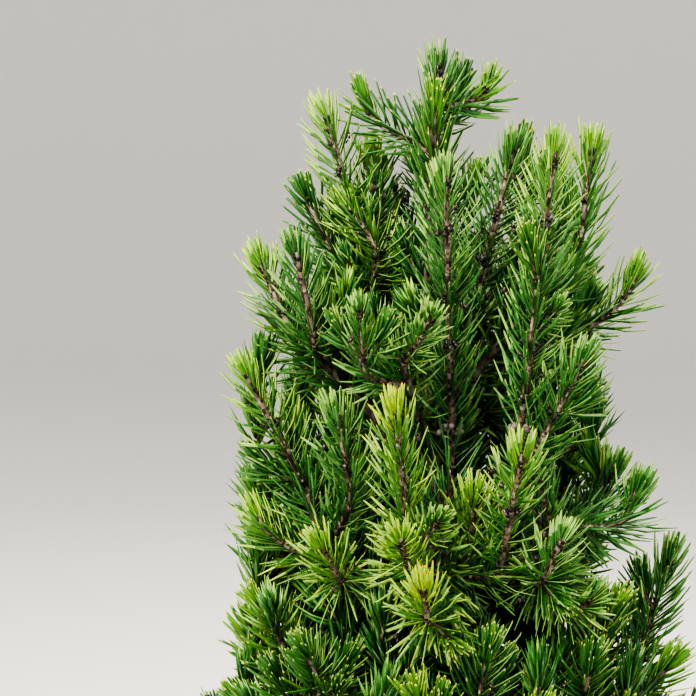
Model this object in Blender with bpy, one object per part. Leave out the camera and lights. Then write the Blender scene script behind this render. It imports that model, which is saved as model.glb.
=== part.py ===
"""A young dwarf Alberta spruce in a plain clay pot, built as solids.

The trunk rises from the potting mix to its tip. Boughs leave it in tiers, and each bough carries a mass of
foliage: a short stem from which shoots grow out to the face of the crown, set with needles.
The row frame has +Z up and its origin at the middle of the pot's underside. +Y points away from the viewer.
"""

import math
import random
from dataclasses import dataclass, field

import bmesh
import bpy
import numpy as np
from mathutils import Vector, noise

MM = 0.001
GAP = 0.3 * MM

# The pot and what fills it
POT_HEIGHT = 112 * MM
POT_FOOT_RADIUS = 45 * MM
POT_RIM_RADIUS = 68 * MM
POT_WALL = 6 * MM
POT_FLOOR = 8 * MM
POT_EDGE = 1.8 * MM
RIM_HEIGHT = 24 * MM
RIM_STEP = 3.5 * MM
POT_SIDES = 32
DRAIN_HOLES = 4
DRAIN_RADIUS = 4.5 * MM
DRAIN_CIRCLE = 27 * MM
POT_ROOM = 2 * MM
SOIL_TOP = 99 * MM
SOIL_LUMP = 1.3 * MM
SOIL_LUMP_SIZE = 11 * MM
SOIL_FLAT_RADIUS = 15 * MM
SOIL_RINGS = (0.97, 0.62)

# The trunk
TRUNK_FOOT = SOIL_TOP + GAP
TRUNK_TIP = 344 * MM
TRUNK_FOOT_RADIUS = 6.4 * MM
TRUNK_TIP_RADIUS = 1.5 * MM
FLARE = 4.6 * MM
FLARE_HEIGHT = 7 * MM
FLARE_LOBES = 4
FLARE_LOBE_DEPTH = 0.45
TRUNK_SIDES = 8
TRUNK_LEAN = Vector((-5.0, 4.0)) * MM
TRUNK_SWAY = 2.4 * MM
TRUNK_LOW_RINGS = (0 * MM, 2.5 * MM, 6 * MM, 11 * MM, 18 * MM)
TRUNK_HIGH_FROM = 34 * MM
TRUNK_HIGH_RINGS = 12

# The crown's outline: height above the ground, and how far the needle tips reach from the axis
CROWN_OUTLINE = (
    (113 * MM, 50 * MM),
    (130 * MM, 64 * MM),
    (165 * MM, 73 * MM),
    (205 * MM, 71 * MM),
    (249 * MM, 62 * MM),
    (290 * MM, 59 * MM),
    (318 * MM, 54 * MM),
    (338 * MM, 45 * MM),
    (358 * MM, 38 * MM),
    (372 * MM, 24 * MM),
    (382 * MM, 6 * MM),
)
CROWN_FOOT = CROWN_OUTLINE[0][0]
CROWN_TOP = CROWN_OUTLINE[-1][0]

# Masses of foliage: height of each tier, how many stand round it, and the azimuth of the first in degrees
TIERS = (
    (138 * MM, 5, -90),
    (182 * MM, 5, -54),
    (225 * MM, 5, -90),
    (266 * MM, 6, -90),
    (324 * MM, 6, -100),
    (360 * MM, 1, 0),
)
SEED_REACH = 0.56
HEIGHT_WEIGHT = 0.62

# Limbs
BOUGH_REACH = 0.55
BOUGH_DROP = 15 * MM
BOUGH_RISE = 0.62
BOUGH_STAGGER = 3 * MM
BOUGH_LOWEST = 19 * MM
BOUGH_FOOT_RADIUS = 2.4 * MM
BOUGH_TO_TRUNK = 0.6
BOUGH_TAPER = 0.7
BOUGH_SIDES = 5
BOUGH_STEPS = 4
STEM_BARE = 0.22
BOUGH_BOW = 1.5 * MM
BOUGH_FOOT_CLEAR = 9 * MM
JOINT_BEND = 5 * MM
LEADER_TOP = 363 * MM
STEM_TOP_SHARE = 0.95
STEM_TAPER = 0.65
STEM_SIDES = 4
STEM_STEPS = 4

# Shoots and the needles on them
SHOOT_COUNT = 204
SHOOT_TILT = 8
SHOOT_TURN = 0.25
SHOOT_BACK = 24 * MM
SHOOT_DEPTH = 11 * MM
SHOOT_LEAN_FOOT = 62
SHOOT_LEAN_TOP = 14
SHOOT_RADIUS = 1.25 * MM
SHOOT_SIDES = 3
SHOOT_STEPS = 8
SHOOT_OUTWARD = 0.5
SHOOT_TAIL = 0.36
LONG_SHOOT = 43 * MM
NEEDLE_LENGTH = 12 * MM
NEEDLE_REACH = 9.5 * MM
NEEDLE_FOOT = 1.7 * MM
WHORL_SPACING = 11 * MM
WHORLS = 3
WHORL_ANGLES = (24, 42, 54)
TUFT_REACH = 8.5 * MM
GOLDEN_TURN = math.pi * (3 - math.sqrt(5))
SEED = 11
MOST_SCRAPS = 12
SHARP_FROM = math.radians(40)

# The shoots that face the viewer in the upper crown: where each ends and where it comes into sight, in
# millimetres to the right, away from the viewer and above the ground
FRONT_LOW = 246 * MM
FRONT_WIDTH = 0.42
FRONT_SHOOTS = (
    ((-50, -10, 299), (-37, -7, 274)),
    ((-38, -8, 328), (-34, -5, 308)),
    ((-47, 12, 324), (-38, 8, 303)),
    ((-26, 12, 338), (-20, 9, 330)),
    ((-31, 18, 360), (-26, 16, 342)),
    ((-18, 24, 347), (-19, 20, 335)),
    ((-3, -18, 346), (-1, -8, 286)),
    ((-4, 6, 372), (-2, 5, 352)),
    ((8, 12, 367), (6, 10, 352)),
    ((-7, -28, 315), (-5, -18, 309)),
    ((14, 2, 352), (5, 1, 315)),
    ((22, -20, 352), (15, -15, 287)),
    ((34, 13, 352), (31, 11, 330)),
    ((44, 9, 321), (34, 7, 283)),
    ((23, -18, 316), (20, -11, 308)),
    ((29, -22, 304), (17, -15, 278)),
    ((14, -36, 284), (10, -27, 257)),
    ((-15, -38, 294), (-12, -30, 266)),
    ((-28, -28, 292), (-25, -22, 274)),
    ((-23, -22, 316), (-22, -17, 302)),
    ((-47, -14, 266), (-42, -12, 251)),
    ((43, -12, 272), (41, -11, 266)),
    ((53, 2, 253), (49, 2, 240)),
    ((-14, -46, 266), (-12, -36, 258)),
    ((-9, -50, 256), (-8, -44, 248)),
    ((3, -30, 273), (3, -22, 259)),
    ((-32, -33, 262), (-28, -28, 254)),
    ((39, 2, 274), (37, 2, 268)),
    ((23, -36, 264), (20, -31, 255)),
    ((30, -33, 250), (23, -26, 236)),
    ((25, -14, 334), (22, -10, 330)),
    ((-5, -46, 271), (-8, -38, 265)),
)


@dataclass
class Shoot:
    """One shoot: where it ends, the way it points there, and the path from its stem."""

    end: Vector
    aim: Vector
    foot: Vector | None = None
    path: list = field(default_factory=list)


@dataclass
class Mass:
    """One mass of foliage with the limb that carries it, and how far down its bough's foot is set."""

    name: str
    drop: float = 0.0
    shoots: list = field(default_factory=list)
    bough: list = field(default_factory=list)
    stem: list = field(default_factory=list)
    bough_radii: list = field(default_factory=list)
    stem_radii: list = field(default_factory=list)
    joint_way: Vector | None = None


def along(low, high, share):
    """The value at a share of the way from low to high."""
    return low + (high - low) * share


def outward(azimuth):
    """Level unit direction at an azimuth in radians, counted from +X."""
    return Vector((math.cos(azimuth), math.sin(azimuth), 0.0))


def trunk_point(height):
    """A point on the trunk's axis: it leans a little back and sways once on the way up."""
    share = (height - TRUNK_FOOT) / (TRUNK_TIP - TRUNK_FOOT)
    lean = TRUNK_LEAN * share * share
    sway = TRUNK_SWAY * math.sin(math.tau * share)
    return Vector((lean.x + sway, lean.y - 0.6 * sway * share, height))


def trunk_radius(height):
    """The trunk's radius without its root flare."""
    share = (height - TRUNK_FOOT) / (TRUNK_TIP - TRUNK_FOOT)
    return along(TRUNK_FOOT_RADIUS, TRUNK_TIP_RADIUS, share**0.9 if share > 0 else 0.0)


def crown_radius(height):
    """How far the needle tips reach from the axis at a height."""
    heights, radii = zip(*CROWN_OUTLINE)
    return float(np.interp(height, heights, radii))


def bezier(corners, steps):
    """Points on a cubic curve with four control points, both ends included."""
    a, b, c, d = corners
    points = []
    for i in range(steps + 1):
        t = i / steps
        u = 1 - t
        points.append(a * u**3 + b * 3 * u * u * t + c * 3 * u * t * t + d * t**3)
    return points


def frames(points, first=None, last=None):
    """Way and two cross directions at each point of a path, without a twist. Its end ways can be given."""
    ways = []
    for i in range(len(points)):
        ways.append((points[min(i + 1, len(points) - 1)] - points[max(i - 1, 0)]).normalized())
    ways[0] = first or ways[0]
    ways[-1] = last or ways[-1]
    side = ways[0].orthogonal().normalized()
    made = []
    for way in ways:
        side = (side - way * side.dot(way)).normalized()
        made.append((way, side, way.cross(side)))
    return made


def point_at(points, distance):
    """Point, and index of its stretch, at a distance along a path."""
    for i in range(len(points) - 1):
        step = (points[i + 1] - points[i]).length
        if distance <= step or i == len(points) - 2:
            return points[i].lerp(points[i + 1], min(distance / step, 1.0)), i
        distance -= step
    return points[-1], len(points) - 2


def path_length(points):
    """Length of a path."""
    return sum((b - a).length for a, b in zip(points, points[1:]))


def spread_shoots():
    """Shoots spread evenly over the face of the crown, apart from the part that FRONT_SHOOTS fills."""
    draw = random.Random(SEED)
    heights = np.linspace(CROWN_FOOT + 5 * MM, CROWN_TOP - NEEDLE_REACH, 200)
    area = np.cumsum([crown_radius(h) + 6 * MM for h in heights])
    area /= area[-1]
    shoots = []
    for i in range(SHOOT_COUNT):
        height = float(np.interp((i + 0.5) / SHOOT_COUNT, area, heights))
        way = outward(i * GOLDEN_TURN)
        depth = SHOOT_DEPTH * draw.random() ** 2
        tilt = draw.uniform(-SHOOT_TILT, SHOOT_TILT)
        turn = draw.uniform(-SHOOT_TURN, SHOOT_TURN)
        reach = crown_radius(height) - NEEDLE_REACH - depth
        facing = way.y < FRONT_WIDTH and FRONT_LOW < height
        if facing or reach < 0:
            continue
        axis = trunk_point(min(height, TRUNK_TIP))
        end = Vector((axis.x, axis.y, height)) + way * reach
        share = (height - CROWN_FOOT) / (CROWN_TOP - CROWN_FOOT)
        lean = math.radians(along(SHOOT_LEAN_FOOT, SHOOT_LEAN_TOP, share**0.7) + tilt)
        level = outward(i * GOLDEN_TURN + turn)
        shoots.append(Shoot(end, (level * math.sin(lean) + Vector((0, 0, math.cos(lean)))).normalized()))
    return shoots


def front_shoots():
    """The shoots of FRONT_SHOOTS, in metres."""
    shoots = []
    for end, foot in FRONT_SHOOTS:
        end, foot = Vector(end) * MM, Vector(foot) * MM
        shoots.append(Shoot(end, (end - foot).normalized(), foot))
    return shoots


def group_shoots(shoots):
    """Masses of foliage: each shoot joins the mass whose middle is nearest."""
    middles = []
    for tier, (height, count, first) in enumerate(TIERS):
        axis = trunk_point(min(height, TRUNK_TIP))
        for i in range(count):
            way = outward(math.radians(first + 360 * i / count))
            reach = crown_radius(height) * SEED_REACH if count > 1 else 0.0
            mass = Mass(f"{tier + 1}_{i + 1}", (2 * i) % count * BOUGH_STAGGER)
            middles.append((mass, Vector((axis.x, axis.y, height)) + way * reach))
    for shoot in shoots:
        carried = carried_point(shoot)
        nearest, _ = min(middles, key=lambda pair: weighted_distance(carried, pair[1]))
        nearest.shoots.append(shoot)
    return [mass for mass, _ in middles if mass.shoots]


def carried_point(shoot):
    """The point that tells which mass a shoot belongs to. A long shoot belongs to the mass at its foot."""
    if not shoot.foot:
        return shoot.end - shoot.aim * TUFT_REACH
    is_long = (shoot.end - shoot.foot).length > LONG_SHOOT
    return shoot.foot if is_long else shoot.end.lerp(shoot.foot, 0.5)


def weighted_distance(a, b):
    """Distance in which height counts less than a step to the side."""
    gap = a - b
    return Vector((gap.x, gap.y, gap.z * HEIGHT_WEIGHT)).length


def inner_point(shoot):
    """Where a shoot comes out of the depth of its mass."""
    return shoot.foot or shoot.end - shoot.aim * SHOOT_BACK


def grow_limbs(mass):
    """The path of a mass's bough from the trunk's axis, and of the stem that goes on from the bough's tip."""
    middle = sum((inner_point(shoot) for shoot in mass.shoots), Vector()) / len(mass.shoots)
    if mass.name.startswith(f"{len(TIERS)}_"):
        mass.joint_way = Vector((0, 0, 1))
        start = trunk_point(TRUNK_TIP) + mass.joint_way * GAP
        end = Vector((start.x, start.y, LEADER_TOP))
        mass.stem = bezier([start.lerp(end, i / 3) for i in range(4)], STEM_STEPS)
        mass.stem_radii = tapering(TRUNK_TIP_RADIUS, STEM_TAPER, STEM_STEPS)
        return
    axis = trunk_point(min(middle.z, TRUNK_TIP))
    level = Vector((middle.x - axis.x, middle.y - axis.y, 0))
    tip_height = max(middle.z - BOUGH_DROP, TRUNK_FOOT + BOUGH_LOWEST)
    tip = Vector((axis.x, axis.y, tip_height)) + level * BOUGH_REACH
    foot_height = tip.z - BOUGH_RISE * level.length * BOUGH_REACH - mass.drop
    foot = trunk_point(max(foot_height, TRUNK_FOOT + BOUGH_FOOT_CLEAR))
    mass.joint_way = (middle - tip).normalized()
    control = foot.lerp(tip, 0.35) + level.normalized() * BOUGH_BOW
    mass.bough = bezier([foot, control, tip - mass.joint_way * JOINT_BEND, tip], BOUGH_STEPS)
    foot_radius = min(BOUGH_FOOT_RADIUS, BOUGH_TO_TRUNK * trunk_radius(foot.z))
    mass.bough_radii = tapering(foot_radius, BOUGH_TAPER, BOUGH_STEPS)
    start = tip + mass.joint_way * GAP
    mass.stem = bezier([start.lerp(middle, i / 3) for i in range(4)], STEM_STEPS)
    mass.stem_radii = tapering(mass.bough_radii[-1], STEM_TAPER, STEM_STEPS)


def tapering(radius, share, steps):
    """Radii along a limb that ends at a share of its first radius."""
    return [radius * along(1, share, i / steps) for i in range(steps + 1)]


def grow_shoots(mass):
    """The paths of a mass's shoots. They leave the stem one above the other, the lowest shoot first."""
    stem_length = path_length(mass.stem)
    rise = mass.stem[-1] - mass.stem[0]
    mass.shoots.sort(key=lambda shoot: inner_point(shoot).dot(rise))
    for i, shoot in enumerate(mass.shoots):
        share = along(STEM_BARE, STEM_TOP_SHARE, (i + 0.5) / len(mass.shoots))
        start, _ = point_at(mass.stem, stem_length * share)
        grow_shoot(shoot, start)


def grow_shoot(shoot, start):
    """A shoot's path from its place on the stem."""
    by_foot = shoot.foot and (shoot.foot - start).dot(shoot.aim) > NEEDLE_LENGTH / 2
    turn = shoot.foot if by_foot else shoot.end
    span = (turn - start).length
    way = (turn - start).normalized()
    middle = start + (way * 1.2 + outward_of(start) * SHOOT_OUTWARD).normalized() * span * 0.3
    curve = [start, middle, turn - shoot.aim * SHOOT_TAIL * span, turn]
    if by_foot:
        half = SHOOT_STEPS // 2
        straight = [shoot.foot.lerp(shoot.end, (i + 1) / half) for i in range(half)]
        shoot.path = bezier(curve, half) + straight
    else:
        shoot.path = bezier(curve, SHOOT_STEPS)


def outward_of(point):
    """Level direction from the trunk's axis to a point."""
    axis = trunk_point(min(point.z, TRUNK_TIP))
    level = Vector((point.x - axis.x, point.y - axis.y, 0))
    return level.normalized() if level.length > MM else Vector((0, 0, 1))


class Space:
    """The limbs and shoots that stand in the crown, as stretches with an owner, to keep others clear."""

    def __init__(self):
        self.starts, self.ends, self.radii, self.owners, self.limbs = [], [], [], [], []

    def add(self, path, radii, owner, is_limb):
        """Adds a path's stretches."""
        for i in range(len(path) - 1):
            self.starts.append(path[i])
            self.ends.append(path[i + 1])
            self.radii.append(max(radii[i], radii[i + 1]))
            self.owners.append(owner)
            self.limbs.append(is_limb)

    def clearances(self, points):
        """Each point's distance from each stretch's surface."""
        starts, ends = np.array(self.starts), np.array(self.ends)
        spans = ends - starts
        offsets = np.array(points)[:, None, :] - starts[None]
        shares = np.clip((offsets * spans).sum(-1) / (spans * spans).sum(-1), 0, 1)
        return np.linalg.norm(offsets - shares[..., None] * spans, axis=-1) - np.array(self.radii)

    def is_clear(self, points, owner, room):
        """Whether all the points keep this far from what others own."""
        others = np.array([name != owner for name in self.owners])
        return bool((self.clearances(points)[:, others] > room).all())

    def keeps_to_own(self, points, owner, room):
        """Whether all the points lie nearer to the owner's shoots than to any other's, and clear of limbs."""
        clear = self.clearances(points)
        owned = np.array([name == owner for name in self.owners])
        limbs = np.array(self.limbs)
        own = clear[:, owned].min(1)
        other_shoots, other_limbs = clear[:, ~owned & ~limbs], clear[:, ~owned & limbs]
        return bool((other_shoots.min(1) > own + room).all() and (other_limbs > room).all())


def clears_pot(points):
    """Whether all the points are over the pot's rim, outside it, or inside it and above the potting mix."""
    mouth = wall_radius(POT_HEIGHT) - POT_WALL - POT_ROOM
    for point in points:
        reach = math.hypot(point.x, point.y)
        over = point.z > POT_HEIGHT + POT_ROOM
        inside = reach < mouth and point.z > SOIL_TOP + SOIL_LUMP + POT_ROOM
        if not (over or inside or reach > POT_RIM_RADIUS + POT_ROOM):
            return False
    return True


def spaced(path, steps):
    """Points along a path's stretches, closer together than the path's own."""
    return [a.lerp(b, i / steps) for a, b in zip(path, path[1:]) for i in range(steps)] + [path[-1]]


def grow_crown():
    """All the masses, with limbs and shoots that stand clear of each other, and the space that they fill."""
    masses = group_shoots(front_shoots() + spread_shoots())
    space = Space()
    heights = np.linspace(TRUNK_FOOT, TRUNK_TIP, 24)
    trunk = [trunk_point(float(h)) for h in heights]
    space.add(trunk, [trunk_radius(float(h)) for h in heights], "trunk", True)
    for mass in masses:
        grow_limbs(mass)
        if mass.bough:
            space.add(mass.bough, mass.bough_radii, "bough_" + mass.name, True)
        space.add(mass.stem, mass.stem_radii, mass.name, True)
    for mass in masses:
        grow_shoots(mass)
        kept = []
        for shoot in mass.shoots:
            points = spaced(shoot.path, 3)
            if space.is_clear(points, mass.name, SHOOT_RADIUS + 2 * GAP) and clears_pot(points):
                space.add(shoot.path, [SHOOT_RADIUS] * len(shoot.path), mass.name, False)
                kept.append(shoot)
        mass.shoots = kept
    return [mass for mass in masses if mass.shoots], space


def ring(mesh, centre, across, over, radius, sides, turn=0.0):
    """A ring of vertices round a centre."""
    made = []
    for i in range(sides):
        angle = turn + math.tau * i / sides
        made.append(mesh.verts.new(centre + (across * math.cos(angle) + over * math.sin(angle)) * radius))
    return made


def join_rings(mesh, low, high):
    """Two triangles for each side between two rings. Returns them side by side."""
    sides = len(low)
    faces = []
    for i in range(sides):
        j = (i + 1) % sides
        faces.append((mesh.faces.new((low[i], low[j], high[i])), mesh.faces.new((low[j], high[j], high[i]))))
    return faces


def limb_mesh(mesh, path, radii, sides, first=None, last=None):
    """A closed tapering limb along a path."""
    rings = []
    for point, radius, (_, across, over) in zip(path, radii, frames(path, first, last)):
        rings.append(ring(mesh, point, across, over, radius, sides))
    for low, high in zip(rings, rings[1:]):
        join_rings(mesh, low, high)
    mesh.faces.new(rings[0][::-1])
    mesh.faces.new(rings[-1])


def spray_mesh(mesh, shoot, owner, space, first_turn):
    """A slim core along the shoot with whorls of needles, each only where it keeps to the mass's space."""
    total = path_length(shoot.path)
    lines = frames(shoot.path)
    count = min(WHORLS, max(2, int((total - 6 * MM) / WHORL_SPACING)))
    twist = math.pi / SHOOT_SIDES
    start, _ = point_at(shoot.path, 0.0)
    _, across, over = lines[0]
    below = ring(mesh, start, across, over, 0.8 * SHOOT_RADIUS, SHOOT_SIDES, first_turn)
    mesh.faces.new(below[::-1])
    turn = first_turn
    for k in reversed(range(count)):
        distance = total - NEEDLE_FOOT - k * WHORL_SPACING
        centre, index = point_at(shoot.path, distance)
        way, across, over = lines[index + 1]
        turn += twist
        low = ring(mesh, centre, across, over, SHOOT_RADIUS, SHOOT_SIDES, turn)
        high = ring(mesh, centre + way * NEEDLE_FOOT, across, over, 0.9 * SHOOT_RADIUS, SHOOT_SIDES, turn)
        join_rings(mesh, below, low)
        angle = math.radians(WHORL_ANGLES[k])
        for i in range(SHOOT_SIDES):
            j = (i + 1) % SHOOT_SIDES
            middle = turn + math.tau * (i + 0.5) / SHOOT_SIDES
            out = across * math.cos(middle) + over * math.sin(middle)
            root = centre + way * 0.5 * NEEDLE_FOOT
            tip = root + (way * math.cos(angle) + out * math.sin(angle)) * NEEDLE_LENGTH
            corners = [low[i], low[j], high[j], high[i]]
            points = [root.lerp(tip, share) for share in (0.4, 0.6, 0.8, 1.0)]
            if space.keeps_to_own(points, owner, 2 * GAP + NEEDLE_FOOT / 2) and clears_pot(points):
                point = mesh.verts.new(tip)
                for a, b in zip(corners, corners[1:] + corners[:1]):
                    mesh.faces.new((a, b, point))
            else:
                mesh.faces.new(corners)
        below = high
    top = mesh.verts.new(shoot.end + shoot.aim * TUFT_REACH)
    for i in range(SHOOT_SIDES):
        mesh.faces.new((below[i], below[(i + 1) % SHOOT_SIDES], top))


def new_object(name, mesh, material):
    """An object in the scene from a bmesh."""
    bmesh.ops.recalc_face_normals(mesh, faces=mesh.faces)
    data = bpy.data.meshes.new(name)
    mesh.to_mesh(data)
    mesh.free()
    made = bpy.data.objects.new(name, data)
    data.materials.append(material)
    bpy.context.scene.collection.objects.link(made)
    return made


def shells_of(mesh):
    """The separate shells of a bmesh, as sets of vertices."""
    shells, left = [], set(mesh.verts)
    while left:
        reached, waiting = set(), [left.pop()]
        while waiting:
            vertex = waiting.pop()
            if vertex not in reached:
                reached.add(vertex)
                waiting += [edge.other_vert(vertex) for edge in vertex.link_edges]
        left -= reached
        shells.append(reached)
    return shells


def keep_body(data):
    """Leaves only the main shell, without scraps and sealed hollows. Returns whether that is closed."""
    mesh = bmesh.new()
    mesh.from_mesh(data)
    shells = sorted(shells_of(mesh), key=len)
    scraps = [vertex for shell in shells[:-1] for vertex in shell]
    bmesh.ops.delete(mesh, geom=scraps, context="VERTS")
    closed = len(mesh.faces) > 0 and all(len(edge.link_faces) == 2 for edge in mesh.edges)
    whole = len(mesh.verts) > MOST_SCRAPS * len(scraps)
    mesh.to_mesh(data)
    mesh.free()
    return closed and whole


def boolean(item, operation, other):
    """Joins or cuts an object with another one or with all in a collection, by the first solver that leaves
    one closed body."""
    modifier = item.modifiers.new(operation.title(), "BOOLEAN")
    modifier.operation = operation
    if isinstance(other, bpy.types.Collection):
        modifier.operand_type = "COLLECTION"
        modifier.collection = other
    else:
        modifier.object = other
    for solver in ("EXACT", "MANIFOLD"):
        modifier.solver = solver
        bpy.context.view_layer.update()
        graph = bpy.context.evaluated_depsgraph_get()
        data = bpy.data.meshes.new_from_object(item.evaluated_get(graph))
        if keep_body(data):
            break
        print(f"{item.name}: {solver} didn't leave one closed body")
    item.modifiers.clear()
    item.data = data


def shade_round(item):
    """Shades a round piece smooth, with its real edges sharp."""
    item.data.shade_smooth()
    item.data.set_sharp_from_angle(angle=SHARP_FROM)
    return item


def finish_material(name, colour, roughness):
    """A plain material."""
    material = bpy.data.materials.new(name)
    material.use_nodes = True
    shader = material.node_tree.nodes["Principled BSDF"]
    shader.inputs["Base Color"].default_value = (*colour, 1.0)
    shader.inputs["Roughness"].default_value = roughness
    shader.inputs["Metallic"].default_value = 0.0
    return material


def wall_radius(height):
    """Outer radius of the pot's tapered wall."""
    share = height / POT_HEIGHT
    return along(POT_FOOT_RADIUS, POT_RIM_RADIUS - RIM_STEP, share)


def turned(name, outline, sides, material):
    """A closed solid spun round the Z axis from an outline of (radius, height) that ends on the axis."""
    mesh = bmesh.new()
    corners = [mesh.verts.new((radius, 0, height)) for radius, height in outline]
    edges = [mesh.edges.new(pair) for pair in zip(corners, corners[1:])]
    bmesh.ops.spin(
        mesh, geom=corners + edges, axis=(0, 0, 1), cent=(0, 0, 0), angle=math.tau, steps=sides,
        use_merge=True,
    )
    bmesh.ops.remove_doubles(mesh, verts=mesh.verts, dist=1e-6)
    return new_object(name, mesh, material)


def make_pot(material):
    """The pot: a tapered wall under a taller plain rim, with drain holes round its floor."""
    under_rim = POT_HEIGHT - RIM_HEIGHT
    outline = [
        (0, 0),
        (POT_FOOT_RADIUS - POT_EDGE, 0),
        (POT_FOOT_RADIUS, POT_EDGE),
        (wall_radius(under_rim), under_rim),
        (POT_RIM_RADIUS - 0.4 * POT_EDGE, under_rim + 0.6 * POT_EDGE),
        (POT_RIM_RADIUS, POT_HEIGHT - POT_EDGE),
        (POT_RIM_RADIUS - POT_EDGE, POT_HEIGHT),
        (wall_radius(POT_HEIGHT) - POT_WALL + POT_EDGE, POT_HEIGHT),
        (wall_radius(POT_HEIGHT) - POT_WALL, POT_HEIGHT - POT_EDGE),
        (wall_radius(POT_FLOOR) - POT_WALL, POT_FLOOR),
        (0, POT_FLOOR),
    ]
    pot = turned("pot", outline, POT_SIDES, material)
    drill = bmesh.new()
    for i in range(DRAIN_HOLES):
        centre = outward(math.tau * (i + 0.5) / DRAIN_HOLES) * DRAIN_CIRCLE
        made = bmesh.ops.create_cone(
            drill, cap_ends=True, segments=8, radius1=DRAIN_RADIUS, radius2=DRAIN_RADIUS, depth=4 * POT_FLOOR
        )
        bmesh.ops.translate(drill, verts=made["verts"], vec=centre)
    holes = new_object("drain_holes", drill, material)
    boolean(pot, "DIFFERENCE", holes)
    bpy.data.objects.remove(holes)
    return shade_round(pot)


def make_soil(material):
    """The potting mix: it fills the pot to below the rim, lumpy on top and level where the trunk stands."""
    low, high = POT_FLOOR + GAP, SOIL_TOP - SOIL_LUMP
    clear = POT_WALL + GAP
    edge = wall_radius(high) - clear
    outline = [(0, low), (wall_radius(low) - clear, low), (edge, high)]
    outline += [(edge * share, SOIL_TOP) for share in SOIL_RINGS]
    outline += [(SOIL_FLAT_RADIUS, SOIL_TOP), (0, SOIL_TOP)]
    soil = turned("potting_mix", outline, POT_SIDES, material)
    for vertex in soil.data.vertices:
        reach = math.hypot(vertex.co.x, vertex.co.y)
        if vertex.co.z > high + 0.1 * MM and reach > SOIL_FLAT_RADIUS + MM:
            vertex.co.z += SOIL_LUMP * noise.noise(vertex.co / SOIL_LUMP_SIZE)
    return shade_round(soil)


def make_trunk(name, material, grown=0.0):
    """The trunk with its root flare and a flat foot. A grown one is thicker, to cut others with."""
    heights = [TRUNK_FOOT + height for height in TRUNK_LOW_RINGS]
    for i in range(TRUNK_HIGH_RINGS + 1):
        heights.append(along(TRUNK_FOOT + TRUNK_HIGH_FROM, TRUNK_TIP, i / TRUNK_HIGH_RINGS))
    if grown:
        heights = [TRUNK_FOOT - 4 * MM] + heights
        heights[-1] += grown
    mesh = bmesh.new()
    rings = []
    for height in heights:
        over_foot = max(height - TRUNK_FOOT, 0.0)
        flare = FLARE * math.exp(-over_foot / FLARE_HEIGHT)
        centre = trunk_point(height)
        made = []
        for i in range(TRUNK_SIDES):
            angle = math.tau * i / TRUNK_SIDES
            lobe = 1 + FLARE_LOBE_DEPTH * math.cos(FLARE_LOBES * angle)
            radius = trunk_radius(height) + flare * lobe + grown
            made.append(mesh.verts.new(centre + outward(angle) * radius))
        rings.append(made)
    for below, above in zip(rings, rings[1:]):
        join_rings(mesh, below, above)
    mesh.faces.new(rings[0][::-1])
    mesh.faces.new(rings[-1])
    return shade_round(new_object(name, mesh, material))


def make_bough(mass, material, trunk_room):
    """A bough, cut to the trunk's surface at its foot."""
    mesh = bmesh.new()
    limb_mesh(mesh, mass.bough, mass.bough_radii, BOUGH_SIDES, last=mass.joint_way)
    bough = new_object("bough_" + mass.name, mesh, material)
    boolean(bough, "DIFFERENCE", trunk_room)
    return shade_round(bough)


def make_mass(mass, material, space, draw):
    """A mass of foliage: its stem and the sprays on it, joined into one body."""
    mesh = bmesh.new()
    limb_mesh(mesh, mass.stem, mass.stem_radii, STEM_SIDES, first=mass.joint_way)
    made = new_object("foliage_" + mass.name, mesh, material)
    sprays = bpy.data.collections.new("sprays")
    bpy.context.scene.collection.children.link(sprays)
    for i, shoot in enumerate(mass.shoots):
        mesh = bmesh.new()
        spray_mesh(mesh, shoot, mass.name, space, draw.uniform(0, math.tau))
        spray = new_object(f"spray_{i}", mesh, material)
        bpy.context.scene.collection.objects.unlink(spray)
        sprays.objects.link(spray)
    boolean(made, "UNION", sprays)
    for spray in list(sprays.objects):
        bpy.data.objects.remove(spray)
    bpy.data.collections.remove(sprays)
    return made


def main():
    """Builds the plant and its pot in an empty scene."""
    for item in list(bpy.data.objects):
        bpy.data.objects.remove(item)
    clay = finish_material("fired_clay", (0.47, 0.19, 0.10), 0.85)
    peat = finish_material("potting_mix", (0.05, 0.032, 0.02), 0.95)
    bark = finish_material("bark", (0.16, 0.115, 0.085), 0.85)
    needles = finish_material("needles", (0.07, 0.21, 0.035), 0.5)
    make_pot(clay)
    make_soil(peat)
    make_trunk("trunk", bark)
    masses, space = grow_crown()
    trunk_room = make_trunk("trunk_room", bark, grown=GAP)
    draw = random.Random(SEED + 1)
    for mass in masses:
        if mass.bough:
            make_bough(mass, bark, trunk_room)
        make_mass(mass, needles, space, draw)
    bpy.data.objects.remove(trunk_room)


if __name__ == "__main__":
    main()
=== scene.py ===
"""A young dwarf spruce in a plain clay pot, dressed for a soft studio light.

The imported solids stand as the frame. Over them this script grows the plant again by the rule that made them:
trunk, boughs in tiers, and shoots that end on the face of the crown. It carries that rule on to side shoots,
buds and needles, and gives the pot and its potting mix their surfaces.
Sizes are in metres, +Z is up, and -Y faces the viewer.
"""

import logging
import math
import random
from dataclasses import dataclass, field
from enum import Enum

import bpy
import numpy as np
from bpy.types import ID, Material, Node, NodeSocket, NodeTree, Object
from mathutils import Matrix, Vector, noise

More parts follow.
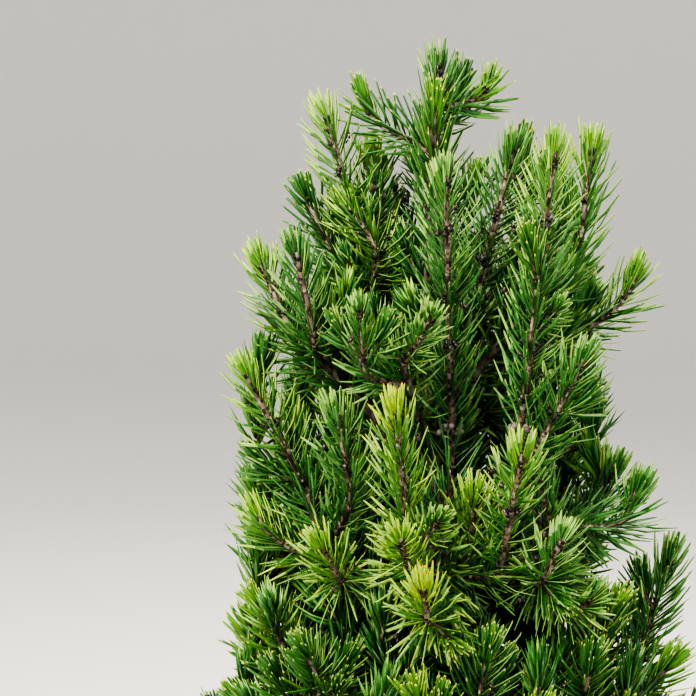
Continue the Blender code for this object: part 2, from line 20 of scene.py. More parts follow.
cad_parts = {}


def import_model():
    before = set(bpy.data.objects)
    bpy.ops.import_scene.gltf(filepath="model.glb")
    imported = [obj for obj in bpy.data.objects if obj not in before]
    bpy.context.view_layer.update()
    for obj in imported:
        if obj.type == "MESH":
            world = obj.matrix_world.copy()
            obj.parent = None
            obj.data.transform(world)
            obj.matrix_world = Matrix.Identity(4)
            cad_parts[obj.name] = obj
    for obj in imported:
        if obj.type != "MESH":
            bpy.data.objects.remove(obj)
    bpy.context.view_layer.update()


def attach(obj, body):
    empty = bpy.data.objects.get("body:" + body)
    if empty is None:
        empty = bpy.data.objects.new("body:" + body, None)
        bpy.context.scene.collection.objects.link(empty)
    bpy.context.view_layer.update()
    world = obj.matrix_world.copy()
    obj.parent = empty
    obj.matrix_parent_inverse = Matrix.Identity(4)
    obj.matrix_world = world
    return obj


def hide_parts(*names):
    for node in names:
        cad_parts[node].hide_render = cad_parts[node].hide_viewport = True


# Two numbers that belong together: mostly the ends of a range, or the first and the last of something
Pair = tuple[float, float]
MM = 0.001
BODY = "root"
MOST_TRIANGLES = 190_000
GOLDEN_TURN = math.pi * (3 - math.sqrt(5))
UP = Vector((0, 0, 1))
TO_VIEWER = np.array([0.0, -1.0, 0.0])
# Two directions that no shoot runs along, from which cross directions can start
SKEW = (0.31, 0.52, 0.79)
SPARE = np.array([0.3, 0.5, 0.8])
# Heights less than this apart count as the same
SAME = 1e-6

log = logging.getLogger("spruce")


class Slot(Enum):
    """Names for four material slots. No piece in this script is given one."""

    CLAY = "fired_clay"
    MIX = "potting_mix"
    BARK = "bark"
    NEEDLES = "needles"


class Grade(Enum):
    """How finely a needle is drawn: from near the eye to the depth of the crown."""

    FINE = "fine"
    USUAL = "usual"
    SLIM = "slim"


class Vigour(Enum):
    """How a shoot is growing, which sets the greens of its needles. The sunny, usual and inner greens are also
    painted light and painted shade.
    """

    FLUSHING = "flushing"
    FRESH = "fresh"
    SUNNY = "sunny"
    USUAL = "usual"
    INNER = "inner"


def along(low: float, high: float, share: float) -> float:
    """The value at a share of the way from low to high."""
    return low + (high - low) * share


def outward(azimuth: float) -> Vector:
    """Level unit direction at an azimuth in radians, counted from +X."""
    return Vector((math.cos(azimuth), math.sin(azimuth), 0.0))


def unit(vector: np.ndarray) -> np.ndarray:
    """A vector brought to a length of one."""
    return vector / np.linalg.norm(vector)


def units(vectors: np.ndarray) -> np.ndarray:
    """Vectors brought to a length of one, row by row."""
    return vectors / np.linalg.norm(vectors, axis=1, keepdims=True)


def linear(hex_colour: str) -> tuple[float, float, float, float]:
    """Turns an sRGB colour into the linear values that a shader takes.

    Args:
        hex_colour: The colour as "#RRGGBB".

    Returns:
        Red, green, blue and an alpha of one.
    """
    parts = []
    for start in (1, 3, 5):
        value = int(hex_colour[start : start + 2], 16) / 255
        parts.append(value / 12.92 if value <= 0.04045 else ((value + 0.055) / 1.055) ** 2.4)
    return (*parts, 1.0)


def add_node(tree: NodeTree, kind: str, inputs: dict | None = None, **settings) -> Node:
    """Adds a node with its settings and links.

    Args:
        tree: The material's node tree.
        kind: The node's type, without the ShaderNode that all types start with.
        inputs: A value, or a socket to link, for each input by name or index.
        **settings: Properties of the node itself.

    Returns:
        The new node.
    """
    node = tree.nodes.new(f"ShaderNode{kind}")
    for name, value in settings.items():
        setattr(node, name, value)
    for name, value in (inputs or {}).items():
        if isinstance(value, NodeSocket):
            tree.links.new(value, node.inputs[name])
        else:
            node.inputs[name].default_value = value
    return node


def place_in(tree: NodeTree) -> NodeSocket:
    """The place on the object, in metres, that every pattern is laid out by."""
    return add_node(tree, "TexCoord").outputs["Object"]


def noise_in(tree: NodeTree, place: NodeSocket, size: float, detail: float, **inputs) -> Node:
    """Adds a noise pattern with features of a size in metres, and some finer layers."""
    return add_node(tree, "TexNoise", {"Vector": place, "Scale": 1 / size, "Detail": detail, **inputs})


def ramp(tree: NodeTree, value: NodeSocket, stops: list) -> NodeSocket:
    """Adds a colour ramp.

    Args:
        tree: The material's node tree.
        value: What is turned into a colour.
        stops: Values from 0 to 1, each with its sRGB colour.

    Returns:
        The colour.
    """
    node = add_node(tree, "ValToRGB", {"Fac": value})
    for element, (stop, colour) in zip(node.color_ramp.elements, stops):
        element.position = stop
        element.color = linear(colour)
    return node.outputs["Color"]


def rescaled(tree: NodeTree, value: NodeSocket, span: Pair, to: Pair) -> NodeSocket:
    """Turns one span of values into another."""
    inputs = {"Value": value, "From Min": span[0], "From Max": span[1], "To Min": to[0], "To Max": to[1]}
    return add_node(tree, "MapRange", inputs).outputs[0]


def mixed(tree: NodeTree, share: NodeSocket, below, above) -> NodeSocket:
    """Mixes two colours, each a socket or linear values, by the share of the second one."""
    node = add_node(tree, "Mix", {"Factor": share, "A": below, "B": above}, data_type="RGBA")
    return node.outputs["Result"]


def weighted_sum(tree: NodeTree, value: NodeSocket, weight: float, other: NodeSocket) -> NodeSocket:
    """Weights a value and adds another to it."""
    return add_node(tree, "Math", {0: value, 1: weight, 2: other}, operation="MULTIPLY_ADD").outputs[0]


@dataclass(frozen=True)
class Finish:
    """A surface of one plain colour, for pieces so small that their form and number give the pattern."""

    name: str
    colour: str
    roughness: float = 0.5
    coat: float = 0.0
    glow: float = 0.0

    def material(self) -> Material:
        """The material, made on its first use."""
        made = bpy.data.materials.get(self.name)
        if made is None:
            made = bpy.data.materials.new(self.name)
            made.use_nodes = True
            self.dress(made.node_tree, made.node_tree.nodes["Principled BSDF"])
        return made

    def dress(self, tree: NodeTree, shader: Node) -> None:
        """Sets the shader's values.

        Args:
            tree: The material's node tree, not used by a plain finish.
            shader: Its Principled shader.
        """
        shader.inputs["Base Color"].default_value = linear(self.colour)
        shader.inputs["Roughness"].default_value = self.roughness
        shader.inputs["Coat Weight"].default_value = self.coat
        shader.inputs["Coat Roughness"].default_value = 0.3
        if self.glow:
            # Needle flesh lets a little light through from behind, over about a third of a millimetre
            shader.inputs["Subsurface Weight"].default_value = self.glow
            shader.inputs["Subsurface Radius"].default_value = (0.5, 1.0, 0.2)
            shader.inputs["Subsurface Scale"].default_value = 0.35 * MM

    def cover(
        self,
        tree: NodeTree,
        shader: Node,
        colour: NodeSocket,
        height: NodeSocket,
        depth: float,
        strength: float,
    ) -> None:
        """Links a pattern's colour and its relief to the shader.

        Args:
            tree: The material's node tree.
            shader: Its Principled shader.
            colour: The colour.
            height: The relief's height, from 0 to 1.
            depth: How deep the relief is, in metres.
            strength: How much of it shows.
        """
        bump = add_node(tree, "Bump", {"Height": height, "Distance": depth, "Strength": strength})
        tree.links.new(colour, shader.inputs["Base Color"])
        tree.links.new(bump.outputs[0], shader.inputs["Normal"])
        shader.inputs["Roughness"].default_value = self.roughness


@dataclass(frozen=True)
class SpruceBark(Finish):
    """Spruce bark: thin grey-brown scales over a darker brown, with shallow cracks between them."""

    scale_size: float = 1.5 * MM
    warp: float = 1.3 * MM
    warp_size: float = 1.6 * MM
    patch_size: float = 5 * MM
    grain_size: float = 0.6 * MM
    depth: float = 0.45 * MM
    crack: str = "#1F1713"
    grey: str = "#85786B"

    def dress(self, tree: NodeTree, shader: Node) -> None:
        """Builds scales, cracks and grain. Matt and rough, so it only catches light on the scales' edges."""
        place = place_in(tree)
        # Scales are about twice as tall as wide, and torn at their edges
        torn = noise_in(tree, place, self.warp_size, 5.0).outputs["Color"]
        warp = {0: torn, 1: (self.warp, self.warp, 2 * self.warp), 2: place}
        torn_place = add_node(tree, "VectorMath", warp, operation="MULTIPLY_ADD").outputs[0]
        stretched = add_node(tree, "Mapping", {"Vector": torn_place, "Scale": (1, 1, 0.5)}).outputs[0]
        scales = add_node(tree, "TexVoronoi", {"Vector": stretched, "Scale": 1 / self.scale_size})
        patches = noise_in(tree, place, self.patch_size, 8.0)
        grain = noise_in(tree, stretched, self.grain_size, 4.0)
        tone = ramp(tree, patches.outputs["Fac"], [(0.38, self.colour), (0.64, self.grey)])
        inside = rescaled(tree, scales.outputs["Distance"], (0.3, 0.8), (1.0, 0.0))
        skin = mixed(tree, inside, linear(self.crack), tone)
        height = weighted_sum(tree, grain.outputs["Fac"], 0.5, inside)
        self.cover(tree, shader, skin, height, self.depth, 0.8)


@dataclass(frozen=True)
class FiredClay(Finish):
    """Unglazed earthenware, thrown and fired: orange-brown, dry and fine-grained, with a pale lime bloom."""

    dark: str = "#985232"
    bloom: str = "#C79C80"
    cloud_size: float = 34 * MM
    bloom_size: float = 24 * MM
    ring_gap: float = 9 * MM
    grit: float = 0.9 * MM
    depth: float = 0.3 * MM
    wet_span: Pair = (8 * MM, 70 * MM)

    def dress(self, tree: NodeTree, shader: Node) -> None:
        """Builds the clay's clouding, grit, turning rings and bloom."""
        place = place_in(tree)
        clouds = noise_in(tree, place, self.cloud_size, 10.0)
        tone = ramp(tree, clouds.outputs["Fac"], [(0.3, self.dark), (0.66, self.colour)])
        streaked = add_node(tree, "Mapping", {"Vector": place, "Scale": (1, 1, 1.7)}).outputs[0]
        lime = noise_in(tree, streaked, self.bloom_size, 12.0, Roughness=0.74)
        # Water dries out near the foot, and leaves more of its lime there
        height = add_node(tree, "SeparateXYZ", {"Vector": place}).outputs["Z"]
        wet = rescaled(tree, height, self.wet_span, (0.1, 0.0))
        amount = add_node(tree, "Math", {0: lime.outputs["Fac"], 1: wet}, operation="ADD").outputs[0]
        bloom = rescaled(tree, amount, (0.5, 0.8), (0.0, 0.34))
        skin = mixed(tree, bloom, tone, linear(self.bloom))
        wave = {"Vector": place, "Scale": 1 / self.ring_gap, "Distortion": 1.2, "Detail": 3.0}
        rings = add_node(tree, "TexWave", wave, bands_direction="Z")
        grit = noise_in(tree, place, self.grit, 6.0)
        relief = weighted_sum(tree, rings.outputs["Fac"], 0.35, grit.outputs["Fac"])
        self.cover(tree, shader, skin, relief, self.depth, 0.5)


@dataclass(frozen=True)
class PeatMix(Finish):
    """Peat and fine bark, damp: near black between the crumbs, brown where they dry."""

    dry: str = "#5B4331"
    crumb_size: float = 2.4 * MM
    depth: float = 1.2 * MM

    def dress(self, tree: NodeTree, shader: Node) -> None:
        """Builds crumbs of a millimetre or two and their colours."""
        crumbs = noise_in(tree, place_in(tree), self.crumb_size, 8.0, Roughness=0.7).outputs["Fac"]
        tone = ramp(tree, crumbs, [(0.38, self.colour), (0.66, self.dry)])
        self.cover(tree, shader, tone, crumbs, self.depth, 0.9)


# Waxy needles: a satin skin over green flesh. Each has a side in a darker green that is painted shade, a
# greener side, a pale line along one edge that is partly its line of pores and partly a painted highlight, and
# a small horny point, which together give the fine light lines of the foliage
NEEDLE_GREENS = {
    Vigour.FLUSHING: ("#75950F", "#98B61C", "#BBD23A", "#C08C38"),
    Vigour.FRESH: ("#407812", "#689C24", "#ACD04C", "#B8BA4E"),
    Vigour.SUNNY: ("#266213", "#4E8129", "#AECE60", "#A8AC50"),
    Vigour.USUAL: ("#1B5214", "#3A742A", "#94BC62", "#90A04C"),
    Vigour.INNER: ("#174812", "#306A25", "#729C50", "#6C8046"),
}
NEEDLE_PARTS = ("shade", "flesh", "edge", "point")
NEEDLE_PEG = Finish("needle_peg_cork", "#5F4D3F", 0.8)
# Spruce twigs are grooved between the feet of their needles: pale ridges on a brown skin, and dark furrows
# whose near-black streaks are painted shade.
# A share of the faces has each finish, on young wood and on older wood
TWIG_WOOD = (
    Finish("twig_pale_ridge", "#9C8C80", 0.7),
    Finish("twig_young_skin", "#7C665C", 0.72),
    Finish("twig_old_skin", "#57453C", 0.8),
    Finish("twig_furrow_painted_shade", "#2A1F1B", 0.85),
)
YOUNG_TWIG_SHARES = (0.16, 0.34, 0.28, 0.22)
OLD_TWIG_SHARES = (0.08, 0.22, 0.36, 0.34)
# Bud scales are resinous and nearly black at first; old ones dry to grey
BUD_FINISHES = (
    Finish("resinous_bud_scale", "#1C1412", 0.38, coat=0.3),
    Finish("dry_bud_edge", "#5C5049", 0.6),
    Finish("bud_scale_brown", "#463830", 0.6),
    Finish("grey_bud_knob", "#7F746D", 0.75),
)
BARK = SpruceBark("spruce_bark", "#4E4037", 0.88)
CLAY = FiredClay("unglazed_earthenware", "#AE6340", 0.9)
MIX = PeatMix("damp_peat_mix", "#1E140D", 0.95)
CRUMBS = (
    Finish("peat_crumb", "#2A1C13", 0.95),
    Finish("bark_chip", "#5E4029", 0.9),
    Finish("dry_fibre", "#80623F", 0.9),
    Finish("perlite", "#E4DFD3", 0.85),
)


def needle_finishes() -> list[Finish]:
    """The plain finishes of every kind of needle, four for each vigour, with the cork of their pegs first."""
    made = [NEEDLE_PEG]
    for vigour, greens in NEEDLE_GREENS.items():
        for part, green in zip(NEEDLE_PARTS, greens):
            made.append(Finish(f"needle_{vigour.value}_{part}", green, 0.48, glow=0.2))
    return made


def clear_selection() -> None:
    """Deselects everything, so that an operator acts on the new primitive alone."""
    if bpy.context.mode != "OBJECT":
        bpy.ops.object.mode_set(mode="OBJECT")
    bpy.ops.object.select_all(action="DESELECT")


def select_only(piece: Object) -> None:
    """Selects one object and makes it active."""
    clear_selection()
    piece.select_set(True)
    bpy.context.view_layer.objects.active = piece


def loft(
    name: str,
    sides: int,
    rings: list[tuple[Vector, float]],
    pointed: bool = False,
    turn: float = 0.0,
    flatness: float = 1.0,
) -> Object:
    """Draws a closed solid up from a filled polygon, one extrusion for each ring.

    Args:
        name: The object's name.
        sides: Corners of the polygon.
        rings: Centre and radius of each ring, the first being the polygon itself.
        pointed: Whether the last ring is drawn together into a point.
        turn: How far the polygon is turned first, in radians.
        flatness: Its depth along Y as a share of its width.

    Returns:
        The solid, with its place in its mesh.
    """
    clear_selection()
    centre, radius = rings[0]
    bpy.ops.mesh.primitive_circle_add(
        vertices=sides, radius=radius, fill_type="NGON", location=centre, rotation=(0, 0, turn)
    )
    piece = bpy.context.object
    piece.name = name
    bpy.ops.object.mode_set(mode="EDIT")
    bpy.ops.mesh.select_all(action="SELECT")
    bpy.ops.transform.resize(value=(1, flatness, 1), center_override=centre)
    for next_centre, next_radius in rings[1:]:
        bpy.ops.mesh.extrude_region_move(TRANSFORM_OT_translate={"value": next_centre - centre})
        share = next_radius / radius
        bpy.ops.transform.resize(value=(share, share, share), center_override=next_centre)
        centre, radius = next_centre, next_radius
    if pointed:
        bpy.ops.mesh.merge(type="CENTER")
    bpy.ops.mesh.select_all(action="SELECT")
    bpy.ops.mesh.normals_make_consistent(inside=False)
    bpy.ops.object.mode_set(mode="OBJECT")
    bpy.ops.object.transform_apply(location=True, rotation=True, scale=True)
    return piece


def apply_modifier(piece: Object, kind: str, **settings) -> None:
    """Adds a modifier with its settings and applies it.

    Args:
        piece: The object.
        kind: The modifier's type.
        **settings: Its properties.
    """
    select_only(piece)
    modifier = piece.modifiers.new(kind.title(), kind)
    for name, value in settings.items():
        setattr(modifier, name, value)
    bpy.ops.object.modifier_apply(modifier=modifier.name)


def relief(piece: Object, kind: str, grain: float, depth: float) -> None:
    """Presses a procedural texture into a mesh.

    Args:
        piece: The object.
        kind: The texture's type.
        grain: Size of the texture's features, in metres.
        depth: How deep it goes, in metres.
    """
    texture = bpy.data.textures.new(f"{piece.name}_{kind.lower()}", kind)
    texture.noise_scale = grain
    apply_modifier(piece, "DISPLACE", texture=texture, texture_coords="LOCAL", strength=depth, mid_level=0.5)
    bpy.data.textures.remove(texture)


def finish_piece(piece: Object, nodes: list[str], finishes: list[Finish]) -> None:
    """Gives a piece its materials, and hands it to the frame.

    Args:
        piece: The object, finished in shape.
        nodes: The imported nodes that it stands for.
        finishes: Its finishes, in the order of its material indices.
    """
    while len(piece.data.materials) < len(finishes):
        piece.data.materials.append(finishes[len(piece.data.materials)].material())
    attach(piece, BODY)
    if nodes:
        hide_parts(*nodes)
    piece.data.calc_loop_triangles()
    log.info("%s: %d triangles", piece.name, len(piece.data.loop_triangles))


def new_object(name: str, data: ID) -> Object:
    """Links a new object with its data to the scene."""
    made = bpy.data.objects.new(name, data)
    bpy.context.scene.collection.objects.link(made)
    return made


def mesh_object(name: str, points: np.ndarray, faces: np.ndarray, kinds: np.ndarray) -> Object:
    """Makes an object of triangles from arrays.

    Args:
        name: The object's name.
        points: Corners, one row each.
        faces: Indices of each triangle's corners.
        kinds: Each triangle's material index.

    Returns:
        The object, linked to the scene.
    """
    data = bpy.data.meshes.new(name)
    data.vertices.add(len(points))
    data.vertices.foreach_set("co", points.astype(np.float32).ravel())
    data.loops.add(3 * len(faces))
    data.loops.foreach_set("vertex_index", faces.astype(np.int32).ravel())
    data.polygons.add(len(faces))
    data.polygons.foreach_set("loop_start", np.arange(0, 3 * len(faces), 3, dtype=np.int32))
    data.polygons.foreach_set("material_index", kinds.astype(np.int32))
    data.update(calc_edges=True)
    return new_object(name, data)


@dataclass
class Pattern:
    """A small shape, modelled once along +Z at unit size, and copied many times into joined meshes."""

    points: np.ndarray
    faces: np.ndarray
    zones: np.ndarray

    @classmethod
    def of(cls, piece: Object) -> "Pattern":
        """Reads an object's triangles, with its material indices as zones, and removes the object.

        Args:
            piece: The modelled shape.

        Returns:
            The pattern.
        """
        data = piece.data
        data.calc_loop_triangles()
        points = np.empty(3 * len(data.vertices), np.float32)
        data.vertices.foreach_get("co", points)
        faces = np.empty(3 * len(data.loop_triangles), np.int32)
        data.loop_triangles.foreach_get("vertices", faces)
        zones = np.empty(len(data.loop_triangles), np.int32)
        data.loop_triangles.foreach_get("material_index", zones)
        bpy.data.objects.remove(piece)
        # The operators give the faces in another order from run to run, so they are sorted here
        faces = faces.reshape(-1, 3)
        turns = (faces.argmin(1)[:, None] + np.arange(3)) % 3
        faces = np.take_along_axis(faces, turns, 1)
        order = np.lexsort(faces.T)
        return cls(points.reshape(-1, 3).astype(float), faces[order], zones[order])

    def copies(self, places: "Places") -> tuple[np.ndarray, np.ndarray]:
        """Sets a copy at each place.

        Args:
            places: Where each copy stands, which way it points and how large it is.

        Returns:
            All the copies' points and faces.
        """
        across = np.cross(places.ways, places.fronts)
        x, y, z = (self.points[:, k][None, :, None] for k in range(3))
        length = places.lengths[:, None, None]
        width = places.widths[:, None, None]
        turned, set_over = np.cos(places.rolls)[:, None, None], np.sin(places.rolls)[:, None, None]
        points = places.roots[:, None, :] + places.ways[:, None, :] * z * length
        points = points + across[:, None, :] * (x * turned - y * set_over) * width
        bow = places.bows[:, None, None] * z * np.abs(z) * length
        points = points + places.fronts[:, None, :] * ((x * set_over + y * turned) * width + bow)
        starts = np.arange(len(places.roots)) * len(self.points)
        faces = self.faces[None] + starts[:, None, None]
        return points.reshape(-1, 3), faces.reshape(-1, 3)


@dataclass
class Places:
    """Where many copies of a pattern stand. Ways and fronts hold unit vectors, square to each other."""

    roots: np.ndarray
    ways: np.ndarray
    fronts: np.ndarray
    lengths: np.ndarray
    widths: np.ndarray
    bows: np.ndarray
    rolls: np.ndarray
    kinds: np.ndarray

    def only(self, kept: np.ndarray) -> "Places":
        """The places where kept is true."""
        return Places(*(getattr(self, name)[kept] for name in self.__dataclass_fields__))


def squared(ways: np.ndarray, guides: np.ndarray) -> np.ndarray:
    """Unit vectors square to ways, as near to guides as they can be.

    Args:
        ways: Unit vectors, one row each.
        guides: The directions to keep near to.

    Returns:
        The vectors, one row each.
    """
    made = guides - ways * (guides * ways).sum(1, keepdims=True)
    lengths = np.linalg.norm(made, axis=1, keepdims=True)
    return units(np.where(lengths > 1e-4, made, np.cross(ways, SPARE)))


def joined(name: str, batch: list[tuple[Pattern, Places, np.ndarray]]) -> Object:
    """Makes one object of many copies.

    Args:
        name: The object's name.
        batch: Patterns, where their copies stand, and the material index of each copy's faces.

    Returns:
        The object.
    """
    all_points, all_faces, first = [], [], 0
    for pattern, places, _ in batch:
        points, faces = pattern.copies(places)
        all_points.append(points)
        all_faces.append(faces + first)
        first += len(points)
    kinds = np.concatenate([kinds.ravel() for _, _, kinds in batch])
    return mesh_object(name, np.concatenate(all_points), np.concatenate(all_faces), kinds)


@dataclass(frozen=True)
class Scale:
    """Where a bud or a scale stands: its root, the way it points, the way its flat side faces, its size."""

    root: np.ndarray
    way: np.ndarray
    front: np.ndarray
    size: float


@dataclass
class Twig:
    """A living shoot: its line, how it is growing, and where it comes out of the crown.

    The foot is where its last year's growth starts, counted from the line's start, or zero where that doesn't
    show. The open stretch is the part next to the tip that stands clear of the crown towards the viewer.
    """

    line: np.ndarray
    foot_radius: float
    tip_radius: float
    vigour: Vigour
    is_side: bool = False
    faces_viewer: bool = False
    is_limb: bool = False
    foot: float = 0.0
    needle_share: float = 1.0
    is_small: bool = False
    is_inner: bool = False
    open_stretch: float = 0.0

    def __post_init__(self) -> None:
        """Measures the line and carries two cross directions along it without a twist."""
        steps = np.linalg.norm(np.diff(self.line, axis=0), axis=1)
        self.reach = np.concatenate([[0.0], np.cumsum(steps)])
        self.length = float(self.reach[-1])
        self.ways = units(np.gradient(self.line, axis=0))
        side = np.cross(self.ways[0], SKEW)
        sides = []
        for way in self.ways:
            side = unit(side - way * side.dot(way))
            sides.append(side)
        self.sides = np.array(sides)

    def at(self, distances: np.ndarray) -> tuple[np.ndarray, np.ndarray, np.ndarray, np.ndarray]:
        """Reads the shoot at distances from its foot.

        Args:
            distances: The distances, in metres.

        Returns:
            Points, directions, and the two cross directions, one row each.
        """
        points, ways, sides = (
            np.stack([np.interp(distances, self.reach, rows[:, k]) for k in range(3)], 1)
            for rows in (self.line, self.ways, self.sides)
        )
        ways = units(ways)
        sides = squared(ways, sides)
        return points, ways, sides, np.cross(ways, sides)

    def at_one(self, distance: float) -> tuple[np.ndarray, np.ndarray, np.ndarray, np.ndarray]:
        """Reads the shoot at one distance from its foot: point, direction and the two cross directions."""
        return tuple(row[0] for row in self.at(np.array([distance])))

    def radius(self, distances: np.ndarray) -> np.ndarray:
        """The wood's radius at distances from the foot."""
        return self.foot_radius + (self.tip_radius - self.foot_radius) * distances / self.length


def bezier(corners: list[Vector], steps: int) -> list[Vector]:
    """Points on a cubic curve.

    Args:
        corners: Its four control points.
        steps: How many stretches it is cut into.

    Returns:
        The points, both ends included.
    """
    a, b, c, d = corners
    points = []
    for i in range(steps + 1):
        t = i / steps
        u = 1 - t
        points.append(a * u**3 + b * 3 * u * u * t + c * 3 * u * t * t + d * t**3)
    return points


# Shares of a short shoot's line, one for each of its points
LINE_SHARES = np.linspace(0, 1, 9)[:, None]


def bent(root: np.ndarray, first: np.ndarray, last: np.ndarray, length: float) -> np.ndarray:
    """The line of a short shoot that turns evenly from its first direction to its last."""
    return root + length * (first * LINE_SHARES + (last - first) * 0.5 * LINE_SHARES**2)


def path_length(points: list[Vector]) -> float:
    """Length of a path."""
    return sum((b - a).length for a, b in zip(points, points[1:]))


@dataclass
class Shoot:
    """A shoot that ends on the crown's face: its end, the way it points there, and where it comes out."""

    end: Vector
    aim: Vector
    foot: Vector | None = None
    is_flushing: bool = False
    is_small: bool = False
    path: list[Vector] = field(default_factory=list)


@dataclass
class Mass:
    """One mass of foliage, with its bough's and its stem's lines and how far down the bough's foot is set."""

    name: str
    drop: float = 0.0
    shoots: list[Shoot] = field(default_factory=list)
    bough: list[Vector] = field(default_factory=list)
    stem: list[Vector] = field(default_factory=list)
    bough_radii: Pair = (0.0, 0.0)
    stem_radii: Pair = (0.0, 0.0)

    def node(self, kind: str) -> str:
        """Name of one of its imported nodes, the foliage or the bough."""
        return f"{kind}_{self.name}"


@dataclass
class TrunkLine:
    """The trunk's axis and thickness. It leans a little back and sways once on the way up."""

    foot: float = 99.3 * MM
    tip: float = 344 * MM
    foot_radius: float = 6.4 * MM
    tip_radius: float = 1.5 * MM
    lean: Vector = field(default_factory=lambda: Vector((-5.0, 4.0)) * MM)
    sway: float = 2.4 * MM
    flare: float = 4.6 * MM
    flare_height: float = 7 * MM
    flare_lobes: int = 4
    lobe_depth: float = 0.45
    back_sway: float = 0.6
    taper_power: float = 0.9

    def point(self, height: float) -> Vector:
        """A point on the axis.

        Args:
            height: Its height.

        Returns:
            The point.
        """
        share = (height - self.foot) / (self.tip - self.foot)
        lean = self.lean * share * share
        sway = self.sway * math.sin(math.tau * share)
        return Vector((lean.x + sway, lean.y - self.back_sway * sway * share, height))

    def radius(self, height: float) -> float:
        """The radius without the root flare."""
        share = (height - self.foot) / (self.tip - self.foot)
        return along(self.foot_radius, self.tip_radius, share**self.taper_power if share > 0 else 0.0)


